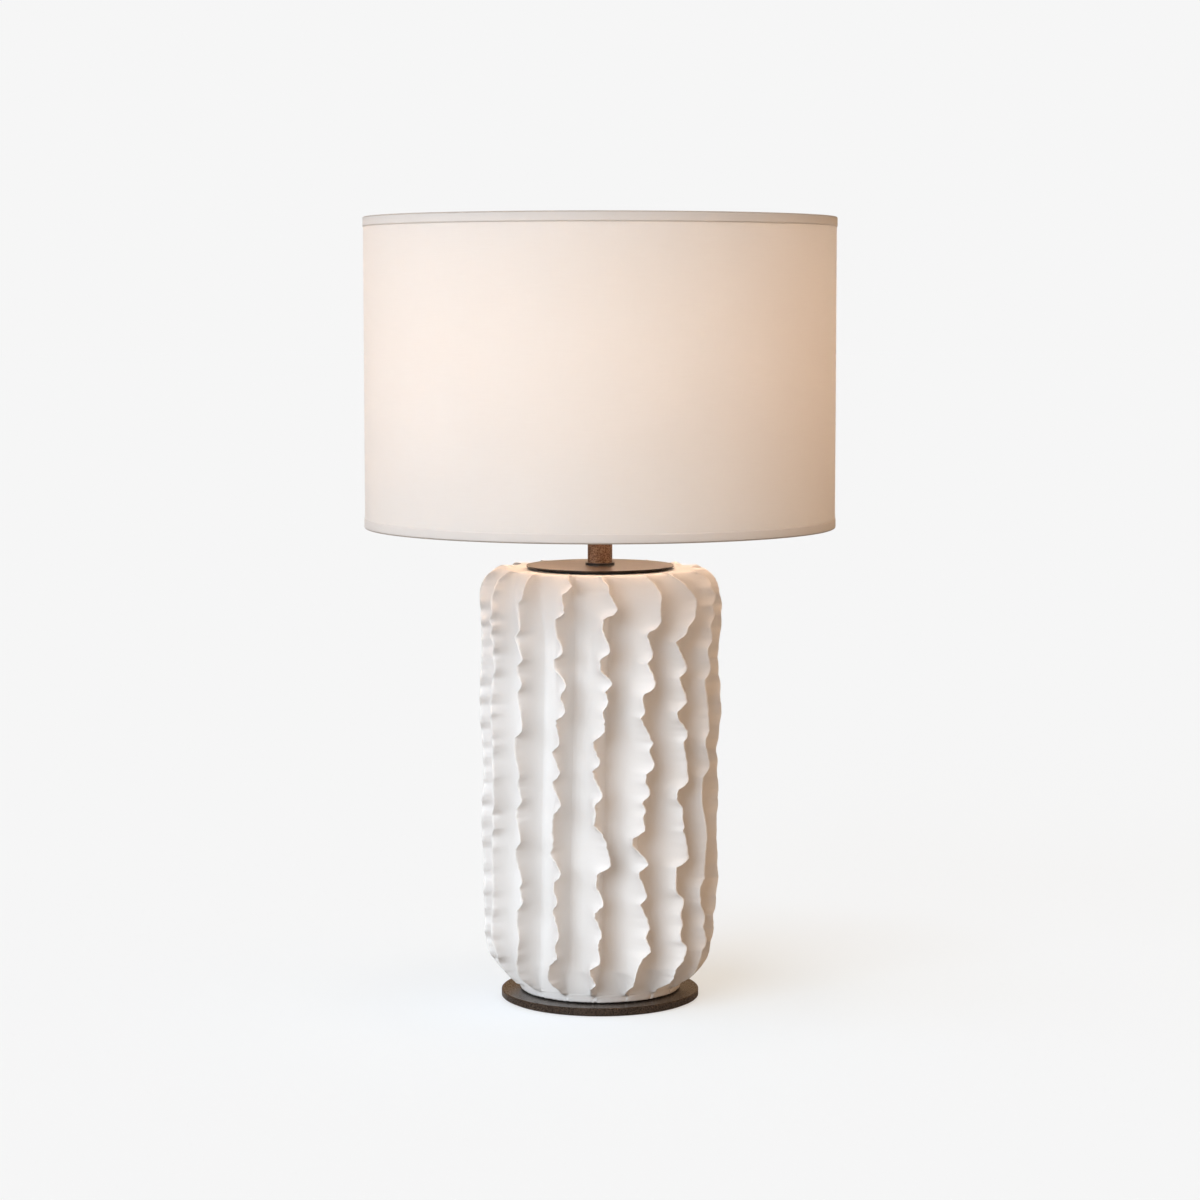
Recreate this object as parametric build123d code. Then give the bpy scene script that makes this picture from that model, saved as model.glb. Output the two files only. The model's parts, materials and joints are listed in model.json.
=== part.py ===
# Ceramic table lamp: a hollow white pot with upright fins stands on a flat bronze plate. A threaded tube
# runs up its middle and clamps plate, pot, cap disc, collar and neck under a lampholder with a turn knob. A
# straight drum shade sits on the lampholder with a three-armed carrier and a ring nut, over a screw-in bulb.
# Sizes are in millimetres, +Z is up, and the origin is on the table under the middle of the lamp. The front
# is towards -Y and the cord inlet is at the back.
from build123d import *
import math
import os

# Base plate and the felt under it
FELT_THICKNESS = 1.2
FELT_EDGE_INSET = 3.2
PLATE_DIAMETER = 148.4
PLATE_THICKNESS = 5.4
PLATE_EDGE_BREAK = 0.5
PLATE_WEB = 1.5
NUT_POCKET_DIAMETER = 34.0
BASE_GASKET_THICKNESS = 1.0
BASE_GASKET_INSET = 2.3

# Threaded tube and its nut
ROD_DIAMETER = 9.8
ROD_BORE = 7.2
ROD_END_LIFT = 0.2
ROD_CLEARANCE = 0.4
WASHER_DIAMETER = 22.0
WASHER_THICKNESS = 1.0
NUT_WALL = 2.1
NUT_THICKNESS = 2.4
THREAD_CLEARANCE = 0.05

# Ceramic pot
POT_HEIGHT = 318.2
POT_WALL = 6.0
POT_CORNER_SLOPE = 15.0
POT_FOOT_RADIUS = 59.3
POT_FOOT_FLARE = 0.9
POT_FOOT_HEIGHT = 4.4
POT_SKIRT_WIDTH = 7.8
POT_SKIRT_RISE = 2.8
POT_LOWER_RADIUS = 87.4
POT_LOWER_CURVE = 45.2
POT_UPPER_RADIUS = 90.2
POT_UPPER_CURVE = 20.0
POT_CREST_WIDTH = 8.0
SEAT_SLOPE_WIDTH = 6.0
SEAT_CLEARANCE = 3.2
SEAT_DEPTH = 2.4
POT_TOP_HOLE = 48.0
POT_BOTTOM_HOLE = 30.0
CENTRING_CLEARANCE = 0.4
CENTRING_DEPTH = 6.0

# Fins: each rises in a hollow ramp from a crease to its tip, then drops straight back to the next crease
FIN_COUNT = 17
FIN_FIRST_ANGLE = 1.6
FIN_CREASE_RADIUS = 67.0
FIN_CREASE_ROUND = 2.5
FIN_TIP_WIDTH = 1.8
FIN_RAMP_MIDDLE_RISE = 4.0

# Cord inlet at the back, in the valley between the two rearmost fins
INLET_HEIGHT = 52.0
INLET_SIDE = 0.5
INLET_BORE = 7.0
GROMMET_WALL = 1.5
GROMMET_CLEARANCE = 0.2
GROMMET_FLANGE_WIDTH = 2.5
GROMMET_FLANGE_THICKNESS = 1.8
INLET_POCKET_CLEARANCE = 2.0
INLET_SEAT_GAP = 0.1

# Cap disc, collar and neck
TOP_GASKET_THICKNESS = 1.6
TOP_GASKET_INSET = 6.8
CAP_DISC_DIAMETER = 109.6
CAP_DISC_THICKNESS = 1.4
COLLAR_DIAMETER = 21.8
COLLAR_THICKNESS = 1.8
NECK_DIAMETER = 18.4
NECK_WALL = 1.2
NECK_LENGTH = 37.8

# Lampholder
HOLDER_DIAMETER = 40.0
HOLDER_WALL = 2.4
HOLDER_ENTRY_DIAMETER = 22.0
HOLDER_ENTRY_HEIGHT = 5.0
HOLDER_CAP_HEIGHT = 26.0
HOLDER_SHELL_HEIGHT = 40.0
HOLDER_SPIGOT = 2.0
FLANGE_WIDTH = 4.0
FLANGE_THICKNESS = 3.0
FLANGE_RISE = 2.0
HOLDER_FIT = 0.1
INSERT_THICKNESS = 8.0
INSERT_RISE = 4.0
HOLDER_SHOULDER_DROP = 2.4
HOLDER_SHOULDER_RISE = 2.4
HOLDER_INNER_RISE = 3.6
HOLDER_LIP_WIDTH = 1.2
LOCK_SCREW_DIAMETER = 3.0
LOCK_SCREW_LENGTH = 5.5
LOCK_SCREW_RISE = 2.5
TERMINAL_SPACING = 18.0
TERMINAL_HEAD_DIAMETER = 5.6
TERMINAL_HEAD_HEIGHT = 2.4
TERMINAL_SHANK_DIAMETER = 3.0
TERMINAL_SHANK_LENGTH = 5.0
SCREW_SHELL_CLEARANCE = 0.3
SCREW_SHELL_WALL = 0.4
SCREW_SHELL_HEIGHT = 21.0
SCREW_SHELL_FOOT_CLEARANCE = 0.2
CONTACT_CLEARANCE = 1.0
CONTACT_HEIGHT = 3.0
CONTACT_WIDTH = 6.0
CONTACT_LENGTH = 14.0
CONTACT_THICKNESS = 0.6

# Rotary switch in the lampholder
SWITCH_HEIGHT = 15.0
SHAFT_DIAMETER = 4.0
SHAFT_CLEARANCE = 0.06
SHAFT_REACH = 6.0
SWITCH_CAM_DIAMETER = 9.0
SWITCH_CAM_FLATS = 7.6
SWITCH_CAM_LENGTH = 5.0
BUSH_DIAMETER = 8.0
BUSH_HEAD_DIAMETER = 11.0
BUSH_HEAD_LENGTH = 2.0
KNOB_DIAMETER = 13.0
KNOB_LENGTH = 13.0
KNOB_GAP = 0.4
KNOB_FLUTES = 12
KNOB_FLUTE_RADIUS = 0.9
KNOB_SOCKET_DEPTH = 10.0
LEAF_THICKNESS = 0.5
LEAF_WIDTH = 6.0
LEAF_GAP = 0.3

# Ring nut that holds the shade carrier down
RING_NUT_WIDTH = 5.35
RING_NUT_HEIGHT = 6.0
RING_NUT_CLEARANCE = 0.15
RING_NUT_FLUTES = 24
RING_NUT_FLUTE_RADIUS = 1.3

# Shade
SHADE_DIAMETER = 350.0
SHADE_HEIGHT = 228.9
CARRIER_DROP = 42.1
TRIM_THICKNESS = 0.4
TRIM_HEM = 7.0
TRIM_INNER_HEM = 4.2
FABRIC_THICKNESS = 0.5
LINER_THICKNESS = 0.5
LAYER_GAP = 0.05
RIM_WIRE_DIAMETER = 2.4
RIM_WIRE_GAP = 0.1
CARRIER_RING_WIDTH = 8.4
CARRIER_RING_CLEARANCE = 0.6
CARRIER_RING_THICKNESS = 1.2
CARRIER_ARMS = 3
CARRIER_ARM_DIAMETER = 3.0
CARRIER_ARM_FIRST_ANGLE = 90.0
CARRIER_ARM_OVERLAP = 1.5
ARM_NOTCH_CLEARANCE = 0.3
WELD_DEPTH = 0.3

# Bulb
BULB_GLOBE_DIAMETER = 60.0
BULB_LENGTH = 110.0
BULB_CAP_DIAMETER = 26.2
BULB_CAP_LENGTH = 22.0
BULB_CAP_WALL = 0.5
BULB_EYELET_DIAMETER = 9.6
BULB_EYELET_THICKNESS = 1.2
BULB_INSULATOR_HEIGHT = 3.2
BULB_INSULATOR_INSET = 1.0
BULB_HOUSING_LENGTH = 21.0
BULB_HOUSING_STEP = 0.9
BULB_HOUSING_UPPER_DIAMETER = 42.0
BULB_PLUG_DEPTH = 7.3
BULB_WALL = 1.2
LED_BOARD_THICKNESS = 1.4

# Heights of the stack, from the table up
PLATE_BOTTOM = FELT_THICKNESS
PLATE_TOP = PLATE_BOTTOM + PLATE_THICKNESS
NUT_POCKET_TOP = PLATE_TOP - PLATE_WEB
POT_BOTTOM = PLATE_TOP + BASE_GASKET_THICKNESS
POT_TOP = POT_BOTTOM + POT_HEIGHT
SEAT_Z = POT_TOP - SEAT_DEPTH
CAP_DISC_BOTTOM = SEAT_Z + TOP_GASKET_THICKNESS
CAP_DISC_TOP = CAP_DISC_BOTTOM + CAP_DISC_THICKNESS
COLLAR_TOP = CAP_DISC_TOP + COLLAR_THICKNESS
NECK_TOP = COLLAR_TOP + NECK_LENGTH
HOLDER_SPLIT = NECK_TOP + HOLDER_CAP_HEIGHT
FLANGE_BOTTOM = HOLDER_SPLIT + FLANGE_RISE
FLANGE_TOP = FLANGE_BOTTOM + FLANGE_THICKNESS
HOLDER_TOP = HOLDER_SPLIT + HOLDER_SHELL_HEIGHT
INSERT_BOTTOM = HOLDER_SPLIT + INSERT_RISE
INSERT_TOP = INSERT_BOTTOM + INSERT_THICKNESS
BULB_BOTTOM = INSERT_TOP + CONTACT_HEIGHT
BULB_TOP = BULB_BOTTOM + BULB_LENGTH
BULB_CAP_BOTTOM = BULB_BOTTOM + BULB_EYELET_THICKNESS + BULB_INSULATOR_HEIGHT
BULB_CAP_TOP = BULB_CAP_BOTTOM + BULB_CAP_LENGTH
BULB_HOUSING_TOP = BULB_CAP_TOP + BULB_HOUSING_LENGTH
CARRIER_RING_TOP = FLANGE_TOP + CARRIER_RING_THICKNESS
SHADE_BOTTOM = FLANGE_TOP - CARRIER_DROP
SHADE_TOP = SHADE_BOTTOM + SHADE_HEIGHT

# Radii of the shade's layers, from the outside in
FABRIC_OUTER = SHADE_DIAMETER / 2 - TRIM_THICKNESS - LAYER_GAP
LINER_OUTER = FABRIC_OUTER - FABRIC_THICKNESS - LAYER_GAP
LINER_INNER = LINER_OUTER - LINER_THICKNESS
RIM_WIRE_RADIUS = LINER_INNER - RIM_WIRE_GAP - RIM_WIRE_DIAMETER / 2
TRIM_INNER = RIM_WIRE_RADIUS - RIM_WIRE_DIAMETER / 2 - RIM_WIRE_GAP - TRIM_THICKNESS
RIM_WIRE_INSET = TRIM_THICKNESS + RIM_WIRE_GAP + RIM_WIRE_DIAMETER / 2

# Radii that the pieces round the threaded tube, the disc and the cord inlet share
ROD_HOLE_RADIUS = ROD_DIAMETER / 2 + ROD_CLEARANCE
SEAT_RADIUS = CAP_DISC_DIAMETER / 2 + SEAT_CLEARANCE
POT_CREST_INNER = SEAT_RADIUS + SEAT_SLOPE_WIDTH
POT_CREST_OUTER = POT_CREST_INNER + POT_CREST_WIDTH
GROMMET_RADIUS = INLET_BORE / 2 + GROMMET_WALL
INLET_HOLE_RADIUS = GROMMET_RADIUS + GROMMET_CLEARANCE
GROMMET_FLANGE_RADIUS = GROMMET_RADIUS + GROMMET_FLANGE_WIDTH

# Radii that the lampholder, the shade's carrier and the bulb share
HOLDER_RADIUS = HOLDER_DIAMETER / 2
HOLDER_BORE_RADIUS = HOLDER_RADIUS - HOLDER_WALL
CARRIER_RING_BORE_RADIUS = HOLDER_RADIUS + CARRIER_RING_CLEARANCE
CARRIER_RING_RADIUS = CARRIER_RING_BORE_RADIUS + CARRIER_RING_WIDTH
RING_NUT_BORE_RADIUS = HOLDER_RADIUS + RING_NUT_CLEARANCE
RING_NUT_RADIUS = RING_NUT_BORE_RADIUS + RING_NUT_WIDTH
BULB_CAP_RADIUS = BULB_CAP_DIAMETER / 2
BULB_HOUSING_LOWER_RADIUS = BULB_CAP_RADIUS + BULB_HOUSING_STEP
BULB_HOUSING_UPPER_RADIUS = BULB_HOUSING_UPPER_DIAMETER / 2


def ring(outer_radius, inner_radius, low, high):
    """A tube on the Z axis between two heights; an inner radius of 0 makes it a solid disc."""
    upright = (Align.CENTER, Align.CENTER, Align.MIN)
    shape = Pos(0, 0, low) * Cylinder(outer_radius, high - low, align=upright)
    if inner_radius > 0:
        shape -= Pos(0, 0, low) * Cylinder(inner_radius, high - low, align=upright)
    return shape


def turned(points):
    """A solid of revolution about the Z axis from a closed outline of (radius, height) corners."""
    outline = Polyline(*[(radius, 0, height) for radius, height in points], close=True)
    return revolve(Face(Wire(outline.edges())), Axis.Z)


def turned_edges(edges):
    """A solid of revolution about the Z axis from a closed run of lines and arcs in the XZ plane."""
    return revolve(Face(Wire(edges)), Axis.Z)


def rod_along_x(radius, start, end, height):
    """A round bar along X at a height, from one X to another."""
    plane = Plane(origin=(start, 0, height), z_dir=(1, 0, 0))
    return plane * Cylinder(radius, end - start, align=(Align.CENTER, Align.CENTER, Align.MIN))


def rod_along_y(radius, start, end):
    """A round bar along Y on the cord inlet's axis, from one Y to another."""
    plane = Plane(origin=(INLET_SIDE, start, INLET_HEIGHT), z_dir=(0, 1, 0))
    return plane * Cylinder(radius, end - start, align=(Align.CENTER, Align.CENTER, Align.MIN))


def polar(radius, angle, height=0.0):
    """A point at an angle that is 0 at the front of the lamp and grows towards its right-hand side."""
    turn = math.radians(angle - 90)
    return (radius * math.cos(turn), radius * math.sin(turn), height)


def arc_in_section(start, middle, end):
    """An arc through three (radius, height) points of the XZ plane."""
    return Edge.make_three_point_arc(*[(radius, 0, height) for radius, height in (start, middle, end)])


def arc_from_upright(start, direction, end):
    """An arc of the XZ plane that leaves its start straight up (1) or straight down (-1)."""
    return Edge.make_tangent_arc((start[0], 0, start[1]), (0, 0, direction), (end[0], 0, end[1]))


def line_in_section(start, end):
    """A straight edge between two (radius, height) points of the XZ plane."""
    return Edge.make_line((start[0], 0, start[1]), (end[0], 0, end[1]))


# Base
def base_felt():
    """Felt pad glued under the plate, open in the middle for the nut."""
    return ring(PLATE_DIAMETER / 2 - FELT_EDGE_INSET, NUT_POCKET_DIAMETER / 2, 0, FELT_THICKNESS)


def base_plate():
    """Flat steel disc with a pocket underneath for the washer and nut."""
    plate = ring(PLATE_DIAMETER / 2, ROD_HOLE_RADIUS, PLATE_BOTTOM, PLATE_TOP)
    rims = plate.edges().filter_by(GeomType.CIRCLE).sort_by(SortBy.RADIUS)[-2:]
    plate = chamfer(rims, PLATE_EDGE_BREAK)
    return plate - ring(NUT_POCKET_DIAMETER / 2, 0, PLATE_BOTTOM, NUT_POCKET_TOP)


def base_gasket():
    """Thin black foam ring between plate and pot."""
    return ring(POT_FOOT_RADIUS - BASE_GASKET_INSET, POT_BOTTOM_HOLE / 2, PLATE_TOP, POT_BOTTOM)


def rod_washer():
    """Washer that spreads the nut's load over the plate's thin web."""
    return ring(WASHER_DIAMETER / 2, ROD_HOLE_RADIUS, NUT_POCKET_TOP - WASHER_THICKNESS, NUT_POCKET_TOP)


def rod_nut():
    """Thin hexagon nut on the lower end of the threaded tube."""
    top = NUT_POCKET_TOP - WASHER_THICKNESS
    corner_radius = (ROD_DIAMETER / 2 + NUT_WALL) / math.cos(math.pi / 6)
    hexagon = RegularPolygon(corner_radius, 6) - Circle(ROD_DIAMETER / 2 + THREAD_CLEARANCE)
    return Pos(0, 0, top - NUT_THICKNESS) * extrude(hexagon, NUT_THICKNESS)


def threaded_rod():
    """Hollow threaded tube that clamps the whole stand together and carries the wires."""
    bottom = PLATE_BOTTOM + ROD_END_LIFT
    return ring(ROD_DIAMETER / 2, ROD_BORE / 2, bottom, NECK_TOP + HOLDER_ENTRY_HEIGHT)


def bottom_centring_bush():
    """Plastic bush that centres the pot's lower hole on the threaded tube."""
    radius = POT_BOTTOM_HOLE / 2 - CENTRING_CLEARANCE
    return ring(radius, ROD_HOLE_RADIUS, PLATE_TOP, PLATE_TOP + CENTRING_DEPTH)


# Ceramic pot
def fin_outline():
    """Closed ratchet-like outline of the fins: a hollow ramp, a narrow tip and a straight drop, repeated."""
    pitch = 360 / FIN_COUNT
    tip_turn = math.degrees(FIN_TIP_WIDTH / POT_UPPER_RADIUS)
    edges = []
    for number in range(FIN_COUNT):
        tip = FIN_FIRST_ANGLE + number * pitch
        start = polar(FIN_CREASE_RADIUS, tip - pitch)
        middle = polar(FIN_CREASE_RADIUS + FIN_RAMP_MIDDLE_RISE, tip - pitch / 2)
        ramp_top = polar(POT_UPPER_RADIUS, tip - tip_turn)
        tip_middle = polar(POT_UPPER_RADIUS, tip - tip_turn / 2)
        drop_top = polar(POT_UPPER_RADIUS, tip)
        edges.append(Edge.make_three_point_arc(start, middle, ramp_top))
        edges.append(Edge.make_three_point_arc(ramp_top, tip_middle, drop_top))
        edges.append(Edge.make_line(drop_top, polar(FIN_CREASE_RADIUS, tip)))
    return Wire(edges)


def fin_section():
    """The outline as a face, with every crease rounded."""
    section = Face(fin_outline())
    middle_radius = (FIN_CREASE_RADIUS + POT_UPPER_RADIUS) / 2
    creases = section.vertices().filter_by(lambda corner: math.hypot(corner.X, corner.Y) < middle_radius)
    return fillet(creases, FIN_CREASE_ROUND)


def pot_envelope():
    """Rounded barrel that the fins are trimmed to, with the dished seat for the cap disc in its top."""
    foot = (POT_FOOT_RADIUS, POT_BOTTOM)
    ankle = (POT_FOOT_RADIUS + POT_FOOT_FLARE, POT_BOTTOM + POT_FOOT_HEIGHT)
    skirt = (ankle[0] + POT_SKIRT_WIDTH, ankle[1] + POT_SKIRT_RISE)
    lower = (POT_LOWER_RADIUS, skirt[1] + POT_LOWER_CURVE)
    upper = (POT_UPPER_RADIUS, POT_TOP - POT_UPPER_CURVE)
    crest_outer = (POT_CREST_OUTER, POT_TOP)
    crest_inner = (POT_CREST_INNER, POT_TOP)
    seat = (SEAT_RADIUS, SEAT_Z)
    seat_centre = (0, SEAT_Z)
    foot_centre = (0, POT_BOTTOM)
    return turned_edges(
        [
            line_in_section(foot_centre, foot),
            line_in_section(foot, ankle),
            line_in_section(ankle, skirt),
            arc_from_upright(lower, -1, skirt),
            line_in_section(lower, upper),
            arc_from_upright(upper, 1, crest_outer),
            line_in_section(crest_outer, crest_inner),
            line_in_section(crest_inner, seat),
            line_in_section(seat, seat_centre),
            line_in_section(seat_centre, foot_centre),
        ]
    )


def pot_cavity():
    """Hollow inside of the pot, one wall in from the creases, with its two end holes."""
    radius = FIN_CREASE_RADIUS - POT_WALL
    floor = POT_BOTTOM + POT_WALL
    ceiling = SEAT_Z - POT_WALL
    cavity = turned(
        [
            (0, floor),
            (POT_FOOT_RADIUS - POT_WALL, floor),
            (radius, floor + POT_CORNER_SLOPE),
            (radius, ceiling - POT_CORNER_SLOPE),
            (radius - POT_CORNER_SLOPE, ceiling),
            (0, ceiling),
        ]
    )
    top_hole = ring(POT_TOP_HOLE / 2, 0, ceiling, SEAT_Z)
    bottom_hole = ring(POT_BOTTOM_HOLE / 2, 0, POT_BOTTOM, floor)
    return cavity + top_hole + bottom_hole


def ceramic_pot():
    """The white pot with its fins, hollow, with the hole and the flat spot for the cord grommet."""
    blank = Pos(0, 0, POT_BOTTOM) * extrude(fin_section(), POT_HEIGHT)
    pot = (blank & pot_envelope()) - pot_cavity()
    beyond = POT_UPPER_RADIUS + POT_WALL
    pot -= rod_along_y(INLET_HOLE_RADIUS, 0, beyond)
    pocket_radius = GROMMET_FLANGE_RADIUS + INLET_POCKET_CLEARANCE
    pot -= rod_along_y(pocket_radius, FIN_CREASE_RADIUS, beyond)
    return pot


def cord_grommet():
    """Rubber grommet with a flange on each side of the wall; the cord would come in through its bore."""
    outside = FIN_CREASE_RADIUS + INLET_SEAT_GAP
    wall_x = abs(INLET_SIDE) + GROMMET_FLANGE_RADIUS
    inside = math.sqrt((FIN_CREASE_RADIUS - POT_WALL) ** 2 - wall_x**2) - INLET_SEAT_GAP
    tip = outside + GROMMET_FLANGE_THICKNESS
    tail = inside - GROMMET_FLANGE_THICKNESS
    grommet = rod_along_y(GROMMET_RADIUS, tail, tip)
    grommet += rod_along_y(GROMMET_FLANGE_RADIUS, outside, tip)
    grommet += rod_along_y(GROMMET_FLANGE_RADIUS, tail, inside)
    return grommet - rod_along_y(INLET_BORE / 2, tail, tip)


# Cap disc, collar and neck
def top_centring_bush():
    """Plastic bush that hangs in the pot's upper hole and centres it on the threaded tube."""
    radius = POT_TOP_HOLE / 2 - CENTRING_CLEARANCE
    return ring(radius, ROD_HOLE_RADIUS, SEAT_Z - CENTRING_DEPTH, SEAT_Z)


def top_gasket():
    """Black rubber ring that the cap disc stands on, which leaves a dark gap under the disc's edge."""
    return ring(CAP_DISC_DIAMETER / 2 - TOP_GASKET_INSET, ROD_HOLE_RADIUS, SEAT_Z, CAP_DISC_BOTTOM)


def cap_disc():
    """Thin bronze disc over the pot's upper hole."""
    return ring(CAP_DISC_DIAMETER / 2, ROD_HOLE_RADIUS, CAP_DISC_BOTTOM, CAP_DISC_TOP)


def neck_collar():
    """Small black collar at the foot of the neck."""
    return ring(COLLAR_DIAMETER / 2, ROD_HOLE_RADIUS, CAP_DISC_TOP, COLLAR_TOP)


def neck_tube():
    """Bronze sleeve over the threaded tube between collar and lampholder."""
    return ring(NECK_DIAMETER / 2, NECK_DIAMETER / 2 - NECK_WALL, COLLAR_TOP, NECK_TOP)


# Lampholder
def holder_cap():
    """Lower half of the lampholder: a black cup with a threaded entry and holes for switch and screw."""
    entry_radius = HOLDER_ENTRY_DIAMETER / 2
    shoulder = NECK_TOP + HOLDER_ENTRY_HEIGHT
    hole = ROD_DIAMETER / 2 + THREAD_CLEARANCE
    cup = turned(
        [
            (hole, NECK_TOP),
            (entry_radius, NECK_TOP),
            (entry_radius, shoulder - HOLDER_SHOULDER_DROP),
            (HOLDER_RADIUS, shoulder + HOLDER_SHOULDER_RISE),
            (HOLDER_RADIUS, HOLDER_SPLIT),
            (HOLDER_BORE_RADIUS, HOLDER_SPLIT),
            (HOLDER_BORE_RADIUS, shoulder + HOLDER_INNER_RISE),
            (entry_radius, shoulder),
            (hole, shoulder),
        ]
    )
    beyond = HOLDER_RADIUS + HOLDER_WALL
    cup -= rod_along_x(BUSH_DIAMETER / 2 + HOLDER_FIT, 0, beyond, NECK_TOP + SWITCH_HEIGHT)
    hole_radius = LOCK_SCREW_DIAMETER / 2 + THREAD_CLEARANCE
    return cup - rod_along_x(hole_radius, -HOLDER_RADIUS, 0, NECK_TOP + LOCK_SCREW_RISE)


def holder_lock_screw():
    """Grub screw that stops the lampholder from turning on the threaded tube."""
    tip = -(ROD_DIAMETER / 2 + THREAD_CLEARANCE)
    return rod_along_x(LOCK_SCREW_DIAMETER / 2, tip - LOCK_SCREW_LENGTH, tip, NECK_TOP + LOCK_SCREW_RISE)


def holder_shell():
    """Upper half of the lampholder: a black sleeve with a flange for the shade's carrier and an inner lip."""
    shell = ring(HOLDER_RADIUS, HOLDER_BORE_RADIUS, HOLDER_SPLIT, HOLDER_TOP)
    shell += ring(HOLDER_RADIUS + FLANGE_WIDTH, HOLDER_BORE_RADIUS, FLANGE_BOTTOM, FLANGE_TOP)
    spigot_outer = HOLDER_BORE_RADIUS - HOLDER_FIT
    lip_inner = spigot_outer - HOLDER_LIP_WIDTH
    lip = ring(HOLDER_BORE_RADIUS, lip_inner, HOLDER_SPLIT, INSERT_BOTTOM)
    spigot = ring(spigot_outer, lip_inner, HOLDER_SPLIT - HOLDER_SPIGOT, HOLDER_SPLIT)
    return shell + lip + spigot


def holder_insert():
    """White porcelain block inside the lampholder, with two holes for the terminal screws."""
    block = ring(HOLDER_BORE_RADIUS - HOLDER_FIT, 0, INSERT_BOTTOM, INSERT_TOP)
    hole_radius = TERMINAL_SHANK_DIAMETER / 2 + THREAD_CLEARANCE
    for side in (-1, 1):
        y = side * TERMINAL_SPACING / 2
        block -= Pos(0, y, 0) * ring(hole_radius, 0, INSERT_BOTTOM, INSERT_TOP)
    return block


def terminal_screws():
    """Two brass screws that hold the wires under the porcelain block."""
    screws = []
    for side in (-1, 1):
        y = side * TERMINAL_SPACING / 2
        head_bottom = INSERT_BOTTOM - TERMINAL_HEAD_HEIGHT
        head = Pos(0, y, 0) * ring(TERMINAL_HEAD_DIAMETER / 2, 0, head_bottom, INSERT_BOTTOM)
        shank_top = INSERT_BOTTOM + TERMINAL_SHANK_LENGTH
        shank = Pos(0, y, 0) * ring(TERMINAL_SHANK_DIAMETER / 2, 0, INSERT_BOTTOM, shank_top)
        screws.append((head + shank).solids()[0])
    return Compound(children=screws)


def screw_shell():
    """Metal sleeve that the bulb screws into, with a foot that rests on the porcelain."""
    bore = BULB_CAP_RADIUS + SCREW_SHELL_CLEARANCE
    sleeve = ring(bore + SCREW_SHELL_WALL, bore, INSERT_TOP, INSERT_TOP + SCREW_SHELL_HEIGHT)
    foot_outer = HOLDER_BORE_RADIUS - SCREW_SHELL_FOOT_CLEARANCE
    foot_inner = CONTACT_LENGTH / 2 + CONTACT_CLEARANCE
    return sleeve + ring(foot_outer, foot_inner, INSERT_TOP, INSERT_TOP + SCREW_SHELL_WALL)


def centre_contact():
    """Bent brass tongue in the middle of the porcelain that meets the bulb's eyelet."""
    leg = Box(CONTACT_LENGTH, CONTACT_WIDTH, CONTACT_THICKNESS)
    foot = Pos(0, 0, INSERT_TOP + CONTACT_THICKNESS / 2) * leg
    tongue = Pos(0, 0, INSERT_TOP + CONTACT_HEIGHT - CONTACT_THICKNESS / 2) * leg
    riser_x = (CONTACT_LENGTH - CONTACT_THICKNESS) / 2
    riser_z = INSERT_TOP + CONTACT_HEIGHT / 2
    return foot + tongue + Pos(riser_x, 0, riser_z) * Box(CONTACT_THICKNESS, CONTACT_WIDTH, CONTACT_HEIGHT)


# Rotary switch
def switch_bush():
    """Brass bush in the side of the lampholder that the switch shaft turns in."""
    height = NECK_TOP + SWITCH_HEIGHT
    inner = HOLDER_BORE_RADIUS - BUSH_HEAD_LENGTH
    outer = HOLDER_RADIUS + BUSH_HEAD_LENGTH
    bush = rod_along_x(BUSH_DIAMETER / 2, inner, HOLDER_RADIUS, height)
    bush += rod_along_x(BUSH_HEAD_DIAMETER / 2, HOLDER_RADIUS, outer, height)
    return bush - rod_along_x(SHAFT_DIAMETER / 2 + SHAFT_CLEARANCE, inner, outer, height)


def switch_shaft():
    """Shaft of the switch, with its square-sided cam inside the lampholder."""
    height = NECK_TOP + SWITCH_HEIGHT
    cam_end = HOLDER_BORE_RADIUS - BUSH_HEAD_LENGTH - KNOB_GAP
    knob_start = HOLDER_RADIUS + BUSH_HEAD_LENGTH + KNOB_GAP
    shaft = rod_along_x(SHAFT_DIAMETER / 2, SHAFT_REACH, knob_start + KNOB_SOCKET_DEPTH, height)
    cam = rod_along_x(SWITCH_CAM_DIAMETER / 2, cam_end - SWITCH_CAM_LENGTH, cam_end, height)
    block = Box(SWITCH_CAM_LENGTH, SWITCH_CAM_FLATS, SWITCH_CAM_FLATS)
    return shaft + (cam & Pos(cam_end - SWITCH_CAM_LENGTH / 2, 0, height) * block)


def switch_knob():
    """Black fluted knob pushed onto the outer end of the shaft."""
    height = NECK_TOP + SWITCH_HEIGHT
    start = HOLDER_RADIUS + BUSH_HEAD_LENGTH + KNOB_GAP
    knob = rod_along_x(KNOB_DIAMETER / 2, start, start + KNOB_LENGTH, height)
    for number in range(KNOB_FLUTES):
        turn = math.radians(number * 360 / KNOB_FLUTES)
        y = KNOB_DIAMETER / 2 * math.cos(turn)
        z = KNOB_DIAMETER / 2 * math.sin(turn)
        knob -= Pos(0, y, z) * rod_along_x(KNOB_FLUTE_RADIUS, start, start + KNOB_LENGTH, height)
    return knob - rod_along_x(SHAFT_DIAMETER / 2, start, start + KNOB_SOCKET_DEPTH, height)


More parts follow.
